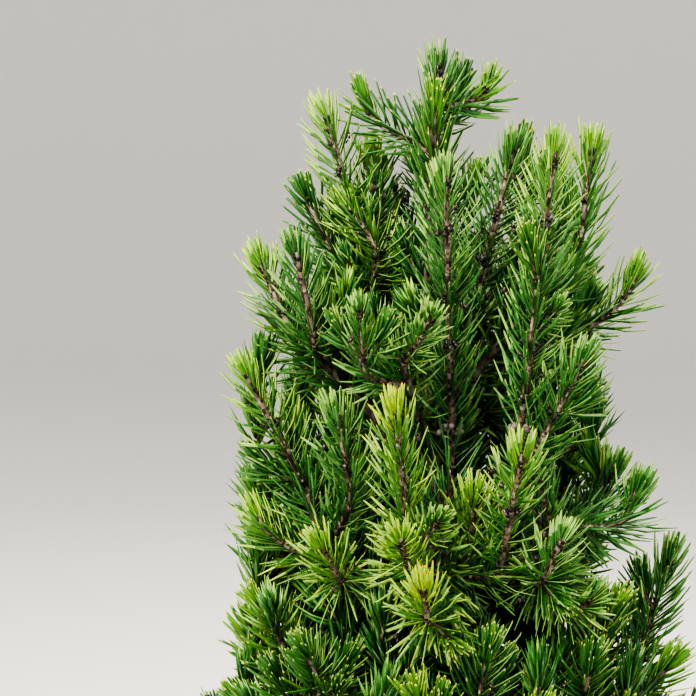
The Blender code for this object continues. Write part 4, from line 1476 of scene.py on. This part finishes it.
@dataclass
class Needles:
    """The needles, in a spiral round each twig. They spread low on it and close into a tuft at its tip."""

    length: float = 11.4 * MM
    tip_length: float = 6.6 * MM
    full_from: float = 8 * MM
    thickness: float = 0.49 * MM
    tuft_breadth: float = 0.28
    spacing: float = 0.38 * MM
    near_spacing: float = 0.27 * MM
    tuft_spacing: float = 0.13 * MM
    inner_spacing: float = 0.7 * MM
    dense_stretch: float = 46 * MM
    near_dense_stretch: float = 72 * MM
    # How far the needles spread, in degrees, on an upright shoot and on leaning ones
    spread_by_lean: tuple = ((2, 46), (12, 56), (24, 66), (60, 70))
    tuft_angle: float = 9
    closing_stretch: float = 17 * MM
    closing_power: float = 0.7
    bow: float = 0.3
    flatness: float = 0.4
    lift: float = 0.1
    # How the needles vary: places round the twig and rolls in radians, spread and angle in degrees, and sizes
    turn_spread: float = 0.22
    roll_spread: float = 0.45
    shoot_spread: float = 3
    angle_spread: float = 7
    length_spread: float = 0.09
    width_spread: float = 0.08
    bow_spread: float = 0.35
    # How deep in the wood's radius they root
    root_share: float = 0.85
    # Towards the viewer, so far round that they stand before the wood, a share of the needles is left out
    before: float = -0.45
    collar: Pair = (1.2 * MM, 5.4 * MM)
    bare_collar: float = 0.85
    whorl_bare: Pair = (-2 * MM, 13 * MM)
    bare_share: float = 0.45
    # Where the first and the last needle stand, and over what stretches the tuft opens and the depth thins
    first: float = 0.1 * MM
    limb_first: float = 0.5 * MM
    last: float = 2 * MM
    tuft_stretch: float = 5 * MM
    thinning_stretch: float = 15 * MM
    inner_tuft: float = 0.8
    # From what distance from the tip needles count as older, over what stretch, and by how much at most
    ageing: tuple = (6 * MM, 20 * MM, 1.6)
    flush_ageing: tuple = (3 * MM, 3 * MM, 2.4)
    kind_spread: float = 0.4
    fresh_stretch: float = 9 * MM
    seed: int = 31
    # Each ring's height and radius, as shares: the fine ones' corky peg, the neck, the widest part, the taper
    rings: dict = field(
        default_factory=lambda: {
            Grade.FINE: ((-0.04, 0.9), (0.045, 0.5), (0.58, 1.0), (0.95, 0.5), (1.0, 0.2)),
            Grade.USUAL: ((-0.02, 0.5), (0.4, 1.0), (0.91, 0.64), (1.0, 0.2)),
            Grade.SLIM: ((-0.02, 0.6), (0.5, 1.0), (1.0, 0.2)),
        }
    )

    def pattern(self, grade: Grade) -> Pattern:
        """Models one needle: a flat blade with narrow pale edges, or a three-sided one for the crown's depth.

        Args:
            grade: How finely it is drawn.

        Returns:
            The needle along +Z, one unit long, with a zone for each of its parts.
        """
        rings = [(UP * height, radius) for height, radius in self.rings[grade]]
        if grade is Grade.SLIM:
            needle = loft("needle", 3, rings, pointed=True)
        else:
            needle = loft("needle", 4, rings, pointed=True, turn=math.pi / 4, flatness=self.flatness)
        neck = self.rings[grade][1][0] if grade is Grade.FINE else -1.0
        taper = self.rings[grade][-2][0] if grade is not Grade.SLIM else 1.0
        waist = self.rings[grade][-3][0] if grade is Grade.FINE else 1.0
        for _ in range(1 + len(NEEDLE_PARTS)):
            needle.data.materials.append(NEEDLE_PEG.material())
        # Painted light and shade: a wide face on one side takes the darker shade green, and one narrow face the
        # pale edge green, partly the line of pores and partly a painted highlight. On the finest needles each
        # wide face takes the next lighter green above the waist, painted light on their outer part
        for face in needle.data.polygons:
            height = max(needle.data.vertices[i].co.z for i in face.vertices)
            if height <= neck + SAME:
                face.material_index = 0
            elif height > taper + SAME:
                face.material_index = 4
            elif abs(face.normal.x) > abs(face.normal.y):
                face.material_index = 3 if face.normal.x > 0 else 2
            else:
                face.material_index = (1 if face.normal.y < 0 else 2) + (height > waist + SAME)
        return Pattern.of(needle)

    def on_twig(self, twig: Twig, draw: np.random.Generator) -> Places:
        """Deals out a twig's needles.

        Args:
            twig: The twig.
            draw: The seeded draw.

        Returns:
            Where they stand.
        """
        from_tip = self.spiral(twig)
        count = len(from_tip)
        points, ways, sides, overs = twig.at(twig.length - from_tip)
        turn = draw.uniform(0, math.tau) + np.arange(count) * GOLDEN_TURN
        turn = turn + draw.normal(0, self.turn_spread, count)
        outs = sides * np.cos(turn)[:, None] + overs * np.sin(turn)[:, None]
        closed = np.clip(from_tip / self.closing_stretch + twig.is_limb, 0, 1) ** self.closing_power
        lean = math.degrees(math.acos(min(float(twig.ways[-1][2]), 1.0)))
        spread = np.interp(lean, *zip(*self.spread_by_lean)) + draw.normal(0, self.shoot_spread)
        angle = np.radians(self.tuft_angle + (spread - self.tuft_angle) * closed)
        angle = angle + np.radians(draw.normal(0, self.angle_spread, count))
        heading = ways * np.cos(angle)[:, None] + outs * np.sin(angle)[:, None]
        heading = units(heading + np.array([0, 0, self.lift]) * closed[:, None])
        fronts = squared(heading, ways)
        grown = np.clip(from_tip / self.full_from, 0, 1)
        lengths = self.tip_length + (self.length - self.tip_length) * grown
        lengths = lengths * draw.normal(1, self.length_spread, count) * twig.needle_share
        widths = self.thickness * (1 + self.tuft_breadth * (1 - grown))
        widths = widths * draw.normal(1, self.width_spread, count)
        bows = self.bow * np.sin(np.abs(angle)) * draw.normal(1, self.bow_spread, count)
        roots = points + outs * (twig.radius(twig.length - from_tip) * self.root_share)[:, None]
        rolls = draw.normal(math.pi / 4, self.roll_spread, count)
        made = Places(roots, heading, fronts, lengths, widths, bows, rolls, self.kinds(twig, from_tip, draw))
        if not twig.faces_viewer:
            return made
        # Fewest of all stand before the collar of bud scales. Small shoots are thin enough as they are
        in_collar = (from_tip > self.collar[0]) & (from_tip < self.collar[1])
        bare = 0.0 if twig.is_small else self.bare_share * (from_tip < twig.open_stretch)
        lost = np.where(in_collar, self.bare_collar, bare) * (outs[:, 1] < self.before)
        if twig.foot > 0:
            # The old wood below the whorl has lost its needles
            first, last = (twig.open_stretch + reach for reach in self.whorl_bare)
            lost = np.where((from_tip > first) & (from_tip < last), self.bare_collar, lost)
        return made.only(draw.random(count) >= lost)

    def spiral(self, twig: Twig) -> np.ndarray:
        """Distances from the tip of a twig's needles, closer together in the tuft and sparse far inside.

        Args:
            twig: The twig.

        Returns:
            The distances.
        """
        if twig.is_limb:
            return np.arange(self.limb_first, twig.length, self.inner_spacing)
        dense = self.near_dense_stretch if twig.faces_viewer else self.dense_stretch
        spacing = self.near_spacing if twig.faces_viewer else self.spacing
        tuft_spacing = self.inner_tuft * spacing if twig.is_inner else self.tuft_spacing
        distances = [self.first]
        while distances[-1] < twig.length - self.last:
            place = distances[-1]
            gap = along(tuft_spacing, spacing, min(place / self.tuft_stretch, 1.0))
            if place > dense:
                gap = along(gap, self.inner_spacing, min((place - dense) / self.thinning_stretch, 1.0))
            distances.append(place + gap)
        return np.array(distances[:-1])

    def kinds(self, twig: Twig, from_tip: np.ndarray, draw: np.random.Generator) -> np.ndarray:
        """Each needle's vigour as a number: bright near the tip, darker with age down the twig.

        Args:
            twig: The twig.
            from_tip: The needles' distances from its tip.
            draw: The seeded draw.

        Returns:
            The numbers.
        """
        order = list(Vigour)
        base = order.index(twig.vigour)
        start, stretch, most = self.flush_ageing if twig.vigour is Vigour.FLUSHING else self.ageing
        age = np.clip((from_tip - start) / stretch, 0, most)
        if twig.vigour is Vigour.SUNNY and not twig.is_side:
            age = age - np.clip(1 - from_tip / self.fresh_stretch, 0, 1)
        low = 0 if twig.vigour is Vigour.FLUSHING else 1
        kinds = np.round(base + age + draw.normal(0, self.kind_spread, len(from_tip)))
        return np.clip(kinds, low, len(order) - 1).astype(int)

    def grade(self, twig: Twig) -> Grade:
        """How finely a twig's needles are drawn."""
        is_deep = twig.is_limb or twig.is_inner or twig.vigour is Vigour.INNER
        return Grade.FINE if twig.faces_viewer else Grade.SLIM if is_deep else Grade.USUAL

    def build(self, masses: list[Mass], twigs: dict[str, list[Twig]]) -> int:
        """Joins the needles into pieces, mass by mass.

        Args:
            masses: The masses, in order.
            twigs: The twigs of each.

        Returns:
            How many needles there are.
        """
        patterns = {grade: self.pattern(grade) for grade in Grade}
        draw = np.random.default_rng(self.seed)
        total = triangles = 0
        batch, nodes, pieces = [], [], []
        for mass in masses:
            sets = [(patterns[self.grade(twig)], self.on_twig(twig, draw)) for twig in twigs[mass.name]]
            added = sum(len(pattern.faces) * len(places.roots) for pattern, places in sets)
            if batch and triangles + added > MOST_TRIANGLES:
                pieces.append((batch, nodes))
                batch, nodes, triangles = [], [], 0
            batch, nodes, triangles = batch + sets, nodes + [mass.node("foliage")], triangles + added
            total += sum(len(places.roots) for _, places in sets)
        pieces.append((batch, nodes))
        for i, (batch, nodes) in enumerate(pieces):
            self.join(f"needles_{i + 1}", batch, nodes)
        return total

    def join(self, name: str, batch: list[tuple[Pattern, Places]], nodes: list[str]) -> None:
        """Makes one piece of many needles.

        Args:
            name: Its name.
            batch: Needles and where they stand, twig by twig.
            nodes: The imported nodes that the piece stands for.
        """
        parts = []
        for pattern, places in batch:
            part = pattern.zones[None, :]
            kinds = np.where(part == 0, 0, places.kinds[:, None] * len(NEEDLE_PARTS) + part)
            parts.append((pattern, places, kinds))
        finish_piece(joined(name, parts), nodes, needle_finishes())


@dataclass
class Buds:
    """Egg-shaped buds, the flat scales round tips and nodes, and the knobs of old whorls."""

    length: float = 1.9 * MM
    thickness: float = 0.72 * MM
    flake_length: float = 1.9 * MM
    flake_width: float = 0.55 * MM
    knob_size: float = 0.8 * MM
    rarer_share: float = 0.3
    size_spread: float = 0.12
    bow: float = 0.15
    # Height and radius of each ring, as shares. A bud's faces between rings this close are a scale's edge
    bud_rings: tuple = ((-0.1, 0.5), (0.25, 1.0), (0.5, 0.92), (0.53, 0.74), (1.0, 0.1))
    flake_rings: tuple = ((0.0, 0.5), (0.45, 1.0), (1.0, 0.3))
    flake_flatness: float = 0.4
    edge_height: float = 0.05
    edge_from: float = 0.2
    seed: int = 41

    def bud(self) -> Pattern:
        """Models one bud: two rounds of scales that step in, and a blunt point.

        Returns:
            The bud, with a zone for the edges of its scales.
        """
        bud = loft("bud", 5, [(UP * height, radius) for height, radius in self.bud_rings], pointed=True)
        for finish in BUD_FINISHES:
            bud.data.materials.append(finish.material())
        for face in bud.data.polygons:
            heights = [bud.data.vertices[i].co.z for i in face.vertices]
            is_edge = max(heights) - min(heights) < self.edge_height and min(heights) > self.edge_from
            face.material_index = 1 if is_edge else 0
        return Pattern.of(bud)

    def flake(self) -> Pattern:
        """Models one bud scale: a short pointed flake."""
        rings = [(UP * height, radius) for height, radius in self.flake_rings]
        return Pattern.of(loft("flake", 4, rings, pointed=True, flatness=self.flake_flatness))

    def knob(self) -> Pattern:
        """Models one knob of an old whorl."""
        clear_selection()
        bpy.ops.mesh.primitive_ico_sphere_add(subdivisions=1, radius=1.0)
        return Pattern.of(bpy.context.object)

    def build(self, growth: FineGrowth) -> None:
        """Joins all of them into one piece.

        Args:
            growth: The growth that placed them.
        """
        draw = np.random.default_rng(self.seed)
        # Each kind's copies, with the numbers of its usual and its rarer finish, or none where its faces tell
        sets = [
            (self.bud(), self.places(growth.buds, self.length, self.thickness, draw), None, None),
            (self.flake(), self.places(growth.flakes, self.flake_length, self.flake_width, draw), 0, 2),
            (self.knob(), self.places(growth.knobs, self.knob_size, self.knob_size, draw), 3, 1),
        ]
        parts = []
        for pattern, places, usual, rarer in sets:
            kinds = np.tile(pattern.zones, len(places.roots))
            if usual is not None:
                is_rarer = draw.random(len(places.roots)) < self.rarer_share
                kinds = np.repeat(np.where(is_rarer, rarer, usual), len(pattern.faces))
            parts.append((pattern, places, kinds))
        piece = joined("buds", parts)
        piece.data.shade_smooth()
        finish_piece(piece, [], list(BUD_FINISHES))

    def places(self, scales: list[Scale], length: float, width: float, draw: np.random.Generator) -> Places:
        """Places for buds or scales, each sized a little differently.

        Args:
            scales: Where they stand.
            length: Their usual length.
            width: Their usual half width.
            draw: The seeded draw.

        Returns:
            The places.
        """
        count = len(scales)
        ways = units(np.array([scale.way for scale in scales]))
        fronts = squared(ways, np.array([scale.front for scale in scales]))
        sizes = np.array([scale.size for scale in scales]) * draw.normal(1, self.size_spread, count)
        roots = np.array([scale.root for scale in scales])
        still, kinds = np.zeros(count), np.zeros(count, int)
        return Places(roots, ways, fronts, length * sizes, width * sizes, self.bow + still, still, kinds)


@dataclass
class Wood:
    """The woody parts: trunk, boughs, the masses' stems and the twigs."""

    rule: GrowthRule
    trunk_sides: int = 36
    ring_gap: float = 1.1 * MM
    scale_depth: float = 0.5 * MM
    scale_size: float = 2.4 * MM
    swell_depth: float = 0.9 * MM
    swell_size: float = 9 * MM
    bough_scale_depth: float = 0.35 * MM
    twig_ridge_size: float = 1.3 * MM
    twig_ridge_depth: float = 0.4 * MM
    # How far from its tip a twig's skin is young, and the share of a short twig that is old at least
    young_stretch: float = 22 * MM
    old_share: float = 0.3
    twig_gap: float = 2.4 * MM
    near_gap: float = 0.7 * MM
    streak_width: float = 0.6 * MM
    streak_length: float = 1.6 * MM
    streak_spread: float = 0.05
    seed: int = 61

    def trunk(self) -> None:
        """Draws the trunk up ring by ring, spreads its roots' flare and presses the bark's scales into it."""
        line = self.rule.trunk
        count = round((line.tip - line.foot) / self.ring_gap)
        heights = [along(line.foot, line.tip, i / count) for i in range(count + 1)]
        rings = [(line.point(height), line.radius(height)) for height in heights]
        piece = loft("trunk_bark", self.trunk_sides, rings)
        for vertex in piece.data.vertices:
            centre = line.point(vertex.co.z)
            out = Vector((vertex.co.x - centre.x, vertex.co.y - centre.y, 0))
            angle = math.atan2(out.y, out.x)
            lobe = 1 + line.lobe_depth * math.cos(line.flare_lobes * angle)
            flare = line.flare * math.exp(-(vertex.co.z - line.foot) / line.flare_height) * lobe
            vertex.co += out.normalized() * flare
        # The relief leaves the foot's corners on their flat cut
        feet = [vertex.index for vertex in piece.data.vertices if vertex.co.z < line.foot + SAME]
        relief(piece, "CLOUDS", self.swell_size, self.swell_depth)
        relief(piece, "VORONOI", self.scale_size, self.scale_depth)
        for index in feet:
            piece.data.vertices[index].co.z = line.foot
        piece.data.shade_smooth()
        finish_piece(piece, ["trunk"], [BARK])

    def boughs(self, masses: list[Mass]) -> None:
        """Draws the boughs and the masses' stems as tapering tubes, with the bark's relief.

        Args:
            masses: The masses with their limbs' lines.
        """
        lines = []
        for mass in masses:
            if mass.bough:
                lines.append((mass.bough, *mass.bough_radii, 0))
            steps = round(path_length(mass.stem) / self.ring_gap)
            stem = [mass.stem[0].lerp(mass.stem[-1], i / steps) for i in range(steps + 1)]
            lines.append((stem, *mass.stem_radii, 0))
        piece = self.tubes("bough_bark", lines, 3, [BARK])
        relief(piece, "VORONOI", self.scale_size, self.bough_scale_depth)
        piece.data.shade_smooth()
        nodes = [mass.node("bough") for mass in masses if mass.bough]
        finish_piece(piece, nodes, [BARK])

    def twigs(self, twigs: dict[str, list[Twig]]) -> None:
        """Draws all the twigs, with a young skin near the tip and a darker one where they are older.

        Args:
            twigs: The twigs of each mass.
        """
        lines = []
        for twig in (twig for group in twigs.values() for twig in group if not twig.is_limb):
            split = max(twig.length - self.young_stretch, self.old_share * twig.length)
            gap = self.near_gap if twig.faces_viewer else self.twig_gap
            for start, end, kind in ((0.0, split, 1), (split, twig.length, 0)):
                count = max(round((end - start) / gap), 3)
                reach = np.linspace(start, end, count + 1)
                points = [Vector(point) for point in twig.at(reach)[0]]
                radii = twig.radius(np.array([start, end]))
                lines.append((points, float(radii[0]), float(radii[1]), kind))
        piece = self.tubes("twig_wood", lines, 1, list(TWIG_WOOD))
        relief(piece, "VORONOI", self.twig_ridge_size, self.twig_ridge_depth)
        self.grain(piece)
        piece.data.shade_smooth()
        finish_piece(piece, [], list(TWIG_WOOD))

    def grain(self, piece: Object) -> None:
        """Deals the twigs' finishes out to their faces, in streaks that run up the wood.

        Args:
            piece: The twigs, with 1 as the material index of their older parts.
        """
        data = piece.data
        count = len(data.polygons)
        ages = np.empty(count, np.int32)
        data.polygons.foreach_get("material_index", ages)
        streak = Vector((1 / self.streak_width, 1 / self.streak_width, 1 / self.streak_length))
        tones = np.array([noise.noise(face.center * streak) for face in data.polygons])
        tones += np.random.default_rng(self.seed).normal(0, self.streak_spread, count)
        kinds = np.empty(count, np.int32)
        for age, shares in enumerate((YOUNG_TWIG_SHARES, OLD_TWIG_SHARES)):
            limits = np.quantile(tones[ages == age], np.cumsum(shares)[:-1])
            kinds[ages == age] = np.searchsorted(limits, tones[ages == age])
        data.polygons.foreach_set("material_index", kinds)

    def tubes(self, name: str, lines: list, roundness: int, finishes: list[Finish]) -> Object:
        """Makes tapering tubes along lines from one bevelled curve.

        Args:
            name: The piece's name.
            lines: For each tube its points, first radius, last radius and material index.
            roundness: The bevel's resolution.
            finishes: The tubes' finishes.

        Returns:
            The tubes as one mesh.
        """
        curve = bpy.data.curves.new(name, "CURVE")
        curve.dimensions = "3D"
        curve.bevel_depth = 1.0
        curve.bevel_resolution = roundness
        curve.use_fill_caps = True
        for finish in finishes:
            curve.materials.append(finish.material())
        for points, first, last, kind in lines:
            spline = curve.splines.new("POLY")
            spline.points.add(len(points) - 1)
            spline.material_index = kind
            for i, (point, place) in enumerate(zip(spline.points, points)):
                point.co = (*place, 1.0)
                point.radius = along(first, last, i / (len(points) - 1))
        select_only(new_object(name, curve))
        bpy.ops.object.convert(target="MESH")
        return bpy.context.object


def arc(centre: Pair, radius: float, first: float, last: float, steps: int) -> list:
    """Points of an arc in a turned outline.

    Args:
        centre: Its centre as distance from the axis and height.
        radius: Its radius.
        first: The angle where it starts, in degrees from outwards.
        last: The angle where it ends.
        steps: How many stretches it has.

    Returns:
        Distances from the axis and heights.
    """
    points = []
    for i in range(steps + 1):
        angle = math.radians(along(first, last, i / steps))
        points.append((centre[0] + radius * math.cos(angle), centre[1] + radius * math.sin(angle)))
    return points


@dataclass
class Pot:
    """The thrown clay pot: tapered wall, plain rim band, rounded lips and drain holes in its floor."""

    height: float = 112 * MM
    foot_radius: float = 45 * MM
    rim_radius: float = 68 * MM
    wall: float = 6 * MM
    floor: float = 8 * MM
    rim_height: float = 24 * MM
    rim_step: float = 3.5 * MM
    lip: float = 1.8 * MM
    band_edge: float = 1.1 * MM
    band_bulge: float = 0.25 * MM
    # The small hollow where the band starts from the wall, and the round corner of the floor inside
    hollow: float = 0.6 * MM
    hollow_out: float = 1.0 * MM
    floor_corner: float = 3 * MM
    # The straight walls keep this far from the foot, the band, the rim and the floor
    wall_ends: tuple = (6 * MM, 1.2 * MM, 8 * MM, 12 * MM)
    sides: int = 128
    drain_holes: int = 4
    drain_radius: float = 4.5 * MM
    drain_circle: float = 27 * MM
    drain_sides: int = 32
    smooth_below: float = 40

    def wall_radius(self, height: float) -> float:
        """Outer radius of the tapered wall."""
        return along(self.foot_radius, self.rim_radius - self.rim_step, height / self.height)

    def outline(self) -> list[Pair]:
        """The turned outline from the underside round the rim to the inner floor.

        Returns:
            Distances from the axis and heights.
        """
        top, lip, edge, corner = self.height, self.lip, self.band_edge, self.floor_corner
        under = top - self.rim_height
        inner = self.wall_radius(top) - self.wall
        by_foot, by_band, by_rim, by_floor = self.wall_ends
        points = arc((self.foot_radius - lip, lip), lip, -90, -8, 5)
        points += [(self.wall_radius(h), h) for h in np.linspace(by_foot, under - by_band, 12)]
        from_wall = self.wall_radius(under) + self.hollow_out
        points += arc((from_wall, under - self.hollow), self.hollow, 180, 90, 3)
        points += arc((self.rim_radius - edge, under + edge), edge, -90, 0, 4)
        points += [(self.rim_radius - self.band_bulge, under + 0.5 * self.rim_height)]
        points += arc((self.rim_radius - lip, top - lip), lip, 0, 90, 6)
        points += arc((inner + lip, top - lip), lip, 90, 180, 5)
        points += [(self.wall_radius(h) - self.wall, h) for h in np.linspace(top - by_rim, by_floor, 10)]
        inside = self.wall_radius(self.floor) - self.wall
        points += arc((inside - corner, self.floor + corner), corner, 0, -90, 4)
        return [(float(radius), float(height)) for radius, height in points]

    def build(self) -> None:
        """Draws the pot up as a potter does, bores the drain holes and dresses it."""
        rings = [(UP * height, radius) for radius, height in self.outline()]
        piece = loft("clay_pot", self.sides, rings)
        drills = []
        for i in range(self.drain_holes):
            centre = outward(math.tau * (i + 0.5) / self.drain_holes) * self.drain_circle
            clear_selection()
            bpy.ops.mesh.primitive_cylinder_add(
                vertices=self.drain_sides, radius=self.drain_radius, depth=4 * self.floor, location=centre
            )
            drills.append(bpy.context.object)
        for drill in drills:
            apply_modifier(piece, "BOOLEAN", object=drill, operation="DIFFERENCE", solver="EXACT")
            bpy.data.objects.remove(drill)
        select_only(piece)
        bpy.ops.object.shade_smooth_by_angle(angle=math.radians(self.smooth_below))
        finish_piece(piece, ["pot"], [CLAY])


@dataclass
class PottingMix:
    """The damp mix in the pot: a lumpy top, with crumbs, bark chips and grains of perlite on it."""

    pot: Pot
    top: float = 99 * MM
    gap: float = 0.3 * MM
    lump: float = 1.3 * MM
    lump_size: float = 11 * MM
    fine_lump: float = 0.585 * MM
    fine_lump_size: float = 3 * MM
    # The mix is flat, and a little lower, round the trunk's foot
    flat_radius: float = 13 * MM
    flat_edge: float = 8 * MM
    flat_drop: float = 0.2 * MM
    # The fill is drawn in at its lower edge, over a height
    lower_edge: Pair = (3.4 * MM, 4 * MM)
    sides: int = 96
    top_rings: int = 26
    crumbs: int = 1300
    crumb_sizes: Pair = (0.5 * MM, 2.0 * MM)
    # Most crumbs are small. They lie flat, from near the trunk to near the pot
    size_power: float = 2.5
    bare_radius: float = 9 * MM
    edge_room: float = 1.6 * MM
    raised: float = 0.15
    lying: tuple[float, float, float] = (1, 1, 0.25)
    length_shares: Pair = (0.7, 1.35)
    width_shares: Pair = (0.4, 0.75)
    kind_shares: tuple = (0.5, 0.3, 0.13, 0.07)
    seed: int = 53

    def height_at(self, x: float, y: float) -> float:
        """Height of the mix's surface.

        Args:
            x: Place to the right.
            y: Place to the back.

        Returns:
            The height.
        """
        reach = math.hypot(x, y)
        share = min(max((reach - self.flat_radius) / self.flat_edge, 0.0), 1.0)
        place = Vector((x, y, self.top))
        coarse = self.lump * noise.noise(place / self.lump_size)
        fine = self.fine_lump * noise.noise(place / self.fine_lump_size)
        return self.top + share * (coarse + fine) - self.flat_drop * (1 - share)

    def build(self) -> None:
        """Fills the pot and lays the crumbs."""
        clear = self.pot.wall + self.gap
        low, high = self.pot.floor + self.gap, self.top - self.lump
        edge = self.pot.wall_radius(high) - clear
        drawn_in, rise = self.lower_edge
        rings = [(UP * low, self.pot.wall_radius(low) - clear - drawn_in)]
        rings += [(UP * (low + rise), self.pot.wall_radius(low + rise) - clear), (UP * high, edge)]
        for i in range(self.top_rings):
            rings.append((UP * self.top, edge * (1 - (i + 0.4) / self.top_rings)))
        piece = loft("potting_mix_fill", self.sides, rings)
        for vertex in piece.data.vertices:
            if vertex.co.z > high + SAME:
                vertex.co.z = self.height_at(vertex.co.x, vertex.co.y)
        piece.data.shade_smooth()
        finish_piece(piece, ["potting_mix"], [MIX])
        self.scatter(edge)

    def scatter(self, edge: float) -> None:
        """Lays crumbs of four kinds on the surface.

        Args:
            edge: How far out the surface goes.
        """
        clear_selection()
        bpy.ops.mesh.primitive_ico_sphere_add(subdivisions=1, radius=1.0)
        pattern = Pattern.of(bpy.context.object)
        draw = np.random.default_rng(self.seed)
        count = self.crumbs
        reach = np.sqrt(draw.uniform(self.bare_radius**2, (edge - self.edge_room) ** 2, count))
        turn = draw.uniform(0, math.tau, count)
        spots = np.stack([reach * np.cos(turn), reach * np.sin(turn)], 1)
        heights = np.array([self.height_at(x, y) for x, y in spots])
        low, high = self.crumb_sizes
        sizes = low + (high - low) * draw.random(count) ** self.size_power
        roots = np.column_stack([spots, heights + self.raised * sizes])
        ways = units(draw.normal(0, 1, (count, 3)) * np.array(self.lying))
        fronts = squared(ways, draw.normal(0, 1, (count, 3)))
        kinds = draw.choice(len(CRUMBS), count, p=self.kind_shares)
        lengths = sizes * draw.uniform(*self.length_shares, count)
        widths = sizes * draw.uniform(*self.width_shares, count)
        still = np.zeros(count)
        places = Places(roots, ways, fronts, lengths, widths, still, still, kinds)
        piece = joined("mix_crumbs", [(pattern, places, np.repeat(kinds, len(pattern.faces)))])
        finish_piece(piece, [], list(CRUMBS))


@dataclass
class Studio:
    """The pale floor, the soft lights and the camera at the photograph's angle."""

    # The photograph shows the upper crown from a little above, close and through a long lens
    aim: Vector = field(default_factory=lambda: Vector((-25.7, 0.0, 304.3)) * MM)
    distance: float = 600 * MM
    elevation: float = 6.0
    lens: float = 129.0
    sensor: float = 36.0
    # The floor runs up into a round backdrop: distance from the middle and height
    sweep: tuple = ((1.6, 0.0), (2.2, 0.05), (2.7, 0.22), (3.1, 0.6), (3.3, 1.2), (3.35, 2.4))
    floor_colour: str = "#F1EFEB"
    sky_colour: str = "#E9EBEC"
    sky_strength: float = 0.5
    sides: int = 96
    floor_drop: float = 0.2 * MM
    # The lights shine at this height of the crown. Each has its name, place, side, watts and colour
    lit_height: float = 250 * MM
    lights: tuple = (
        ("key", (-0.6, -0.7, 1.3), 0.45, 33.0, "#FFF6E8"),
        ("fill", (0.6, -1.2, 0.62), 1.0, 8.5, "#F2F6FF"),
        ("back", (0.3, 0.8, 1.1), 0.5, 18.0, "#FFF8EE"),
    )

    def build(self) -> None:
        """Sets up floor, sky, lights and camera."""
        clear_selection()
        radius, _ = self.sweep[0]
        bpy.ops.mesh.primitive_circle_add(
            vertices=self.sides, radius=radius, fill_type="NGON", location=-self.floor_drop * UP
        )
        floor = bpy.context.object
        floor.name = "studio_floor"
        bpy.ops.object.mode_set(mode="EDIT")
        bpy.ops.mesh.select_mode(type="EDGE")
        bpy.ops.mesh.select_all(action="SELECT")
        for (inner, low), (outer, high) in zip(self.sweep, self.sweep[1:]):
            bpy.ops.mesh.extrude_edges_move(TRANSFORM_OT_translate={"value": (0, 0, high - low)})
            share = outer / inner
            bpy.ops.transform.resize(value=(share, share, 1), center_override=(0, 0, high))
        bpy.ops.object.mode_set(mode="OBJECT")
        floor.data.shade_smooth()
        floor.data.materials.append(Finish("pale_floor", self.floor_colour, 0.8).material())
        world = bpy.data.worlds.new("studio_sky")
        world.use_nodes = True
        background = world.node_tree.nodes["Background"]
        background.inputs["Color"].default_value = linear(self.sky_colour)
        background.inputs["Strength"].default_value = self.sky_strength
        bpy.context.scene.world = world
        bpy.context.scene.view_settings.look = "AgX - High Contrast"
        for light in self.lights:
            self.light(*light)
        self.camera()

    def light(self, name: str, place: tuple, size: float, power: float, colour: str) -> None:
        """Adds a square soft light that shines at the crown.

        Args:
            name: Its name.
            place: Where it stands.
            size: The length of its side.
            power: Its power in watts.
            colour: Its sRGB colour.
        """
        data = bpy.data.lights.new(f"{name}_light", "AREA")
        data.size = size
        data.energy = power
        data.color = linear(colour)[:3]
        made = new_object(f"{name}_light", data)
        made.location = place
        made.rotation_euler = (UP * self.lit_height - Vector(place)).to_track_quat("-Z", "Y").to_euler()

    def camera(self) -> None:
        """Adds the camera and makes it the scene's."""
        data = bpy.data.cameras.new("camera")
        data.lens = self.lens
        data.sensor_width = self.sensor
        data.clip_start = 0.01
        rise = math.radians(self.elevation)
        back = Vector((0, -math.cos(rise), math.sin(rise)))
        made = new_object("camera", data)
        made.location = self.aim + back * self.distance
        made.rotation_euler = (-back).to_track_quat("-Z", "Y").to_euler()
        bpy.context.scene.camera = made


def main() -> None:
    """Loads the frame, grows and dresses the plant and its pot, and sets up the studio."""
    logging.basicConfig(level=logging.INFO, format="%(name)s: %(message)s")
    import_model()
    rule = GrowthRule()
    masses = rule.masses()
    growth = FineGrowth(rule)
    twigs = growth.grow(masses)
    wood = Wood(rule)
    wood.trunk()
    wood.boughs(masses)
    wood.twigs(twigs)
    count = Needles().build(masses, twigs)
    log.info("%d shoots, %d needles", sum(len(group) for group in twigs.values()), count)
    Buds().build(growth)
    pot = Pot()
    pot.build()
    PottingMix(pot).build()
    Studio().build()


if __name__ == "__main__":
    main()
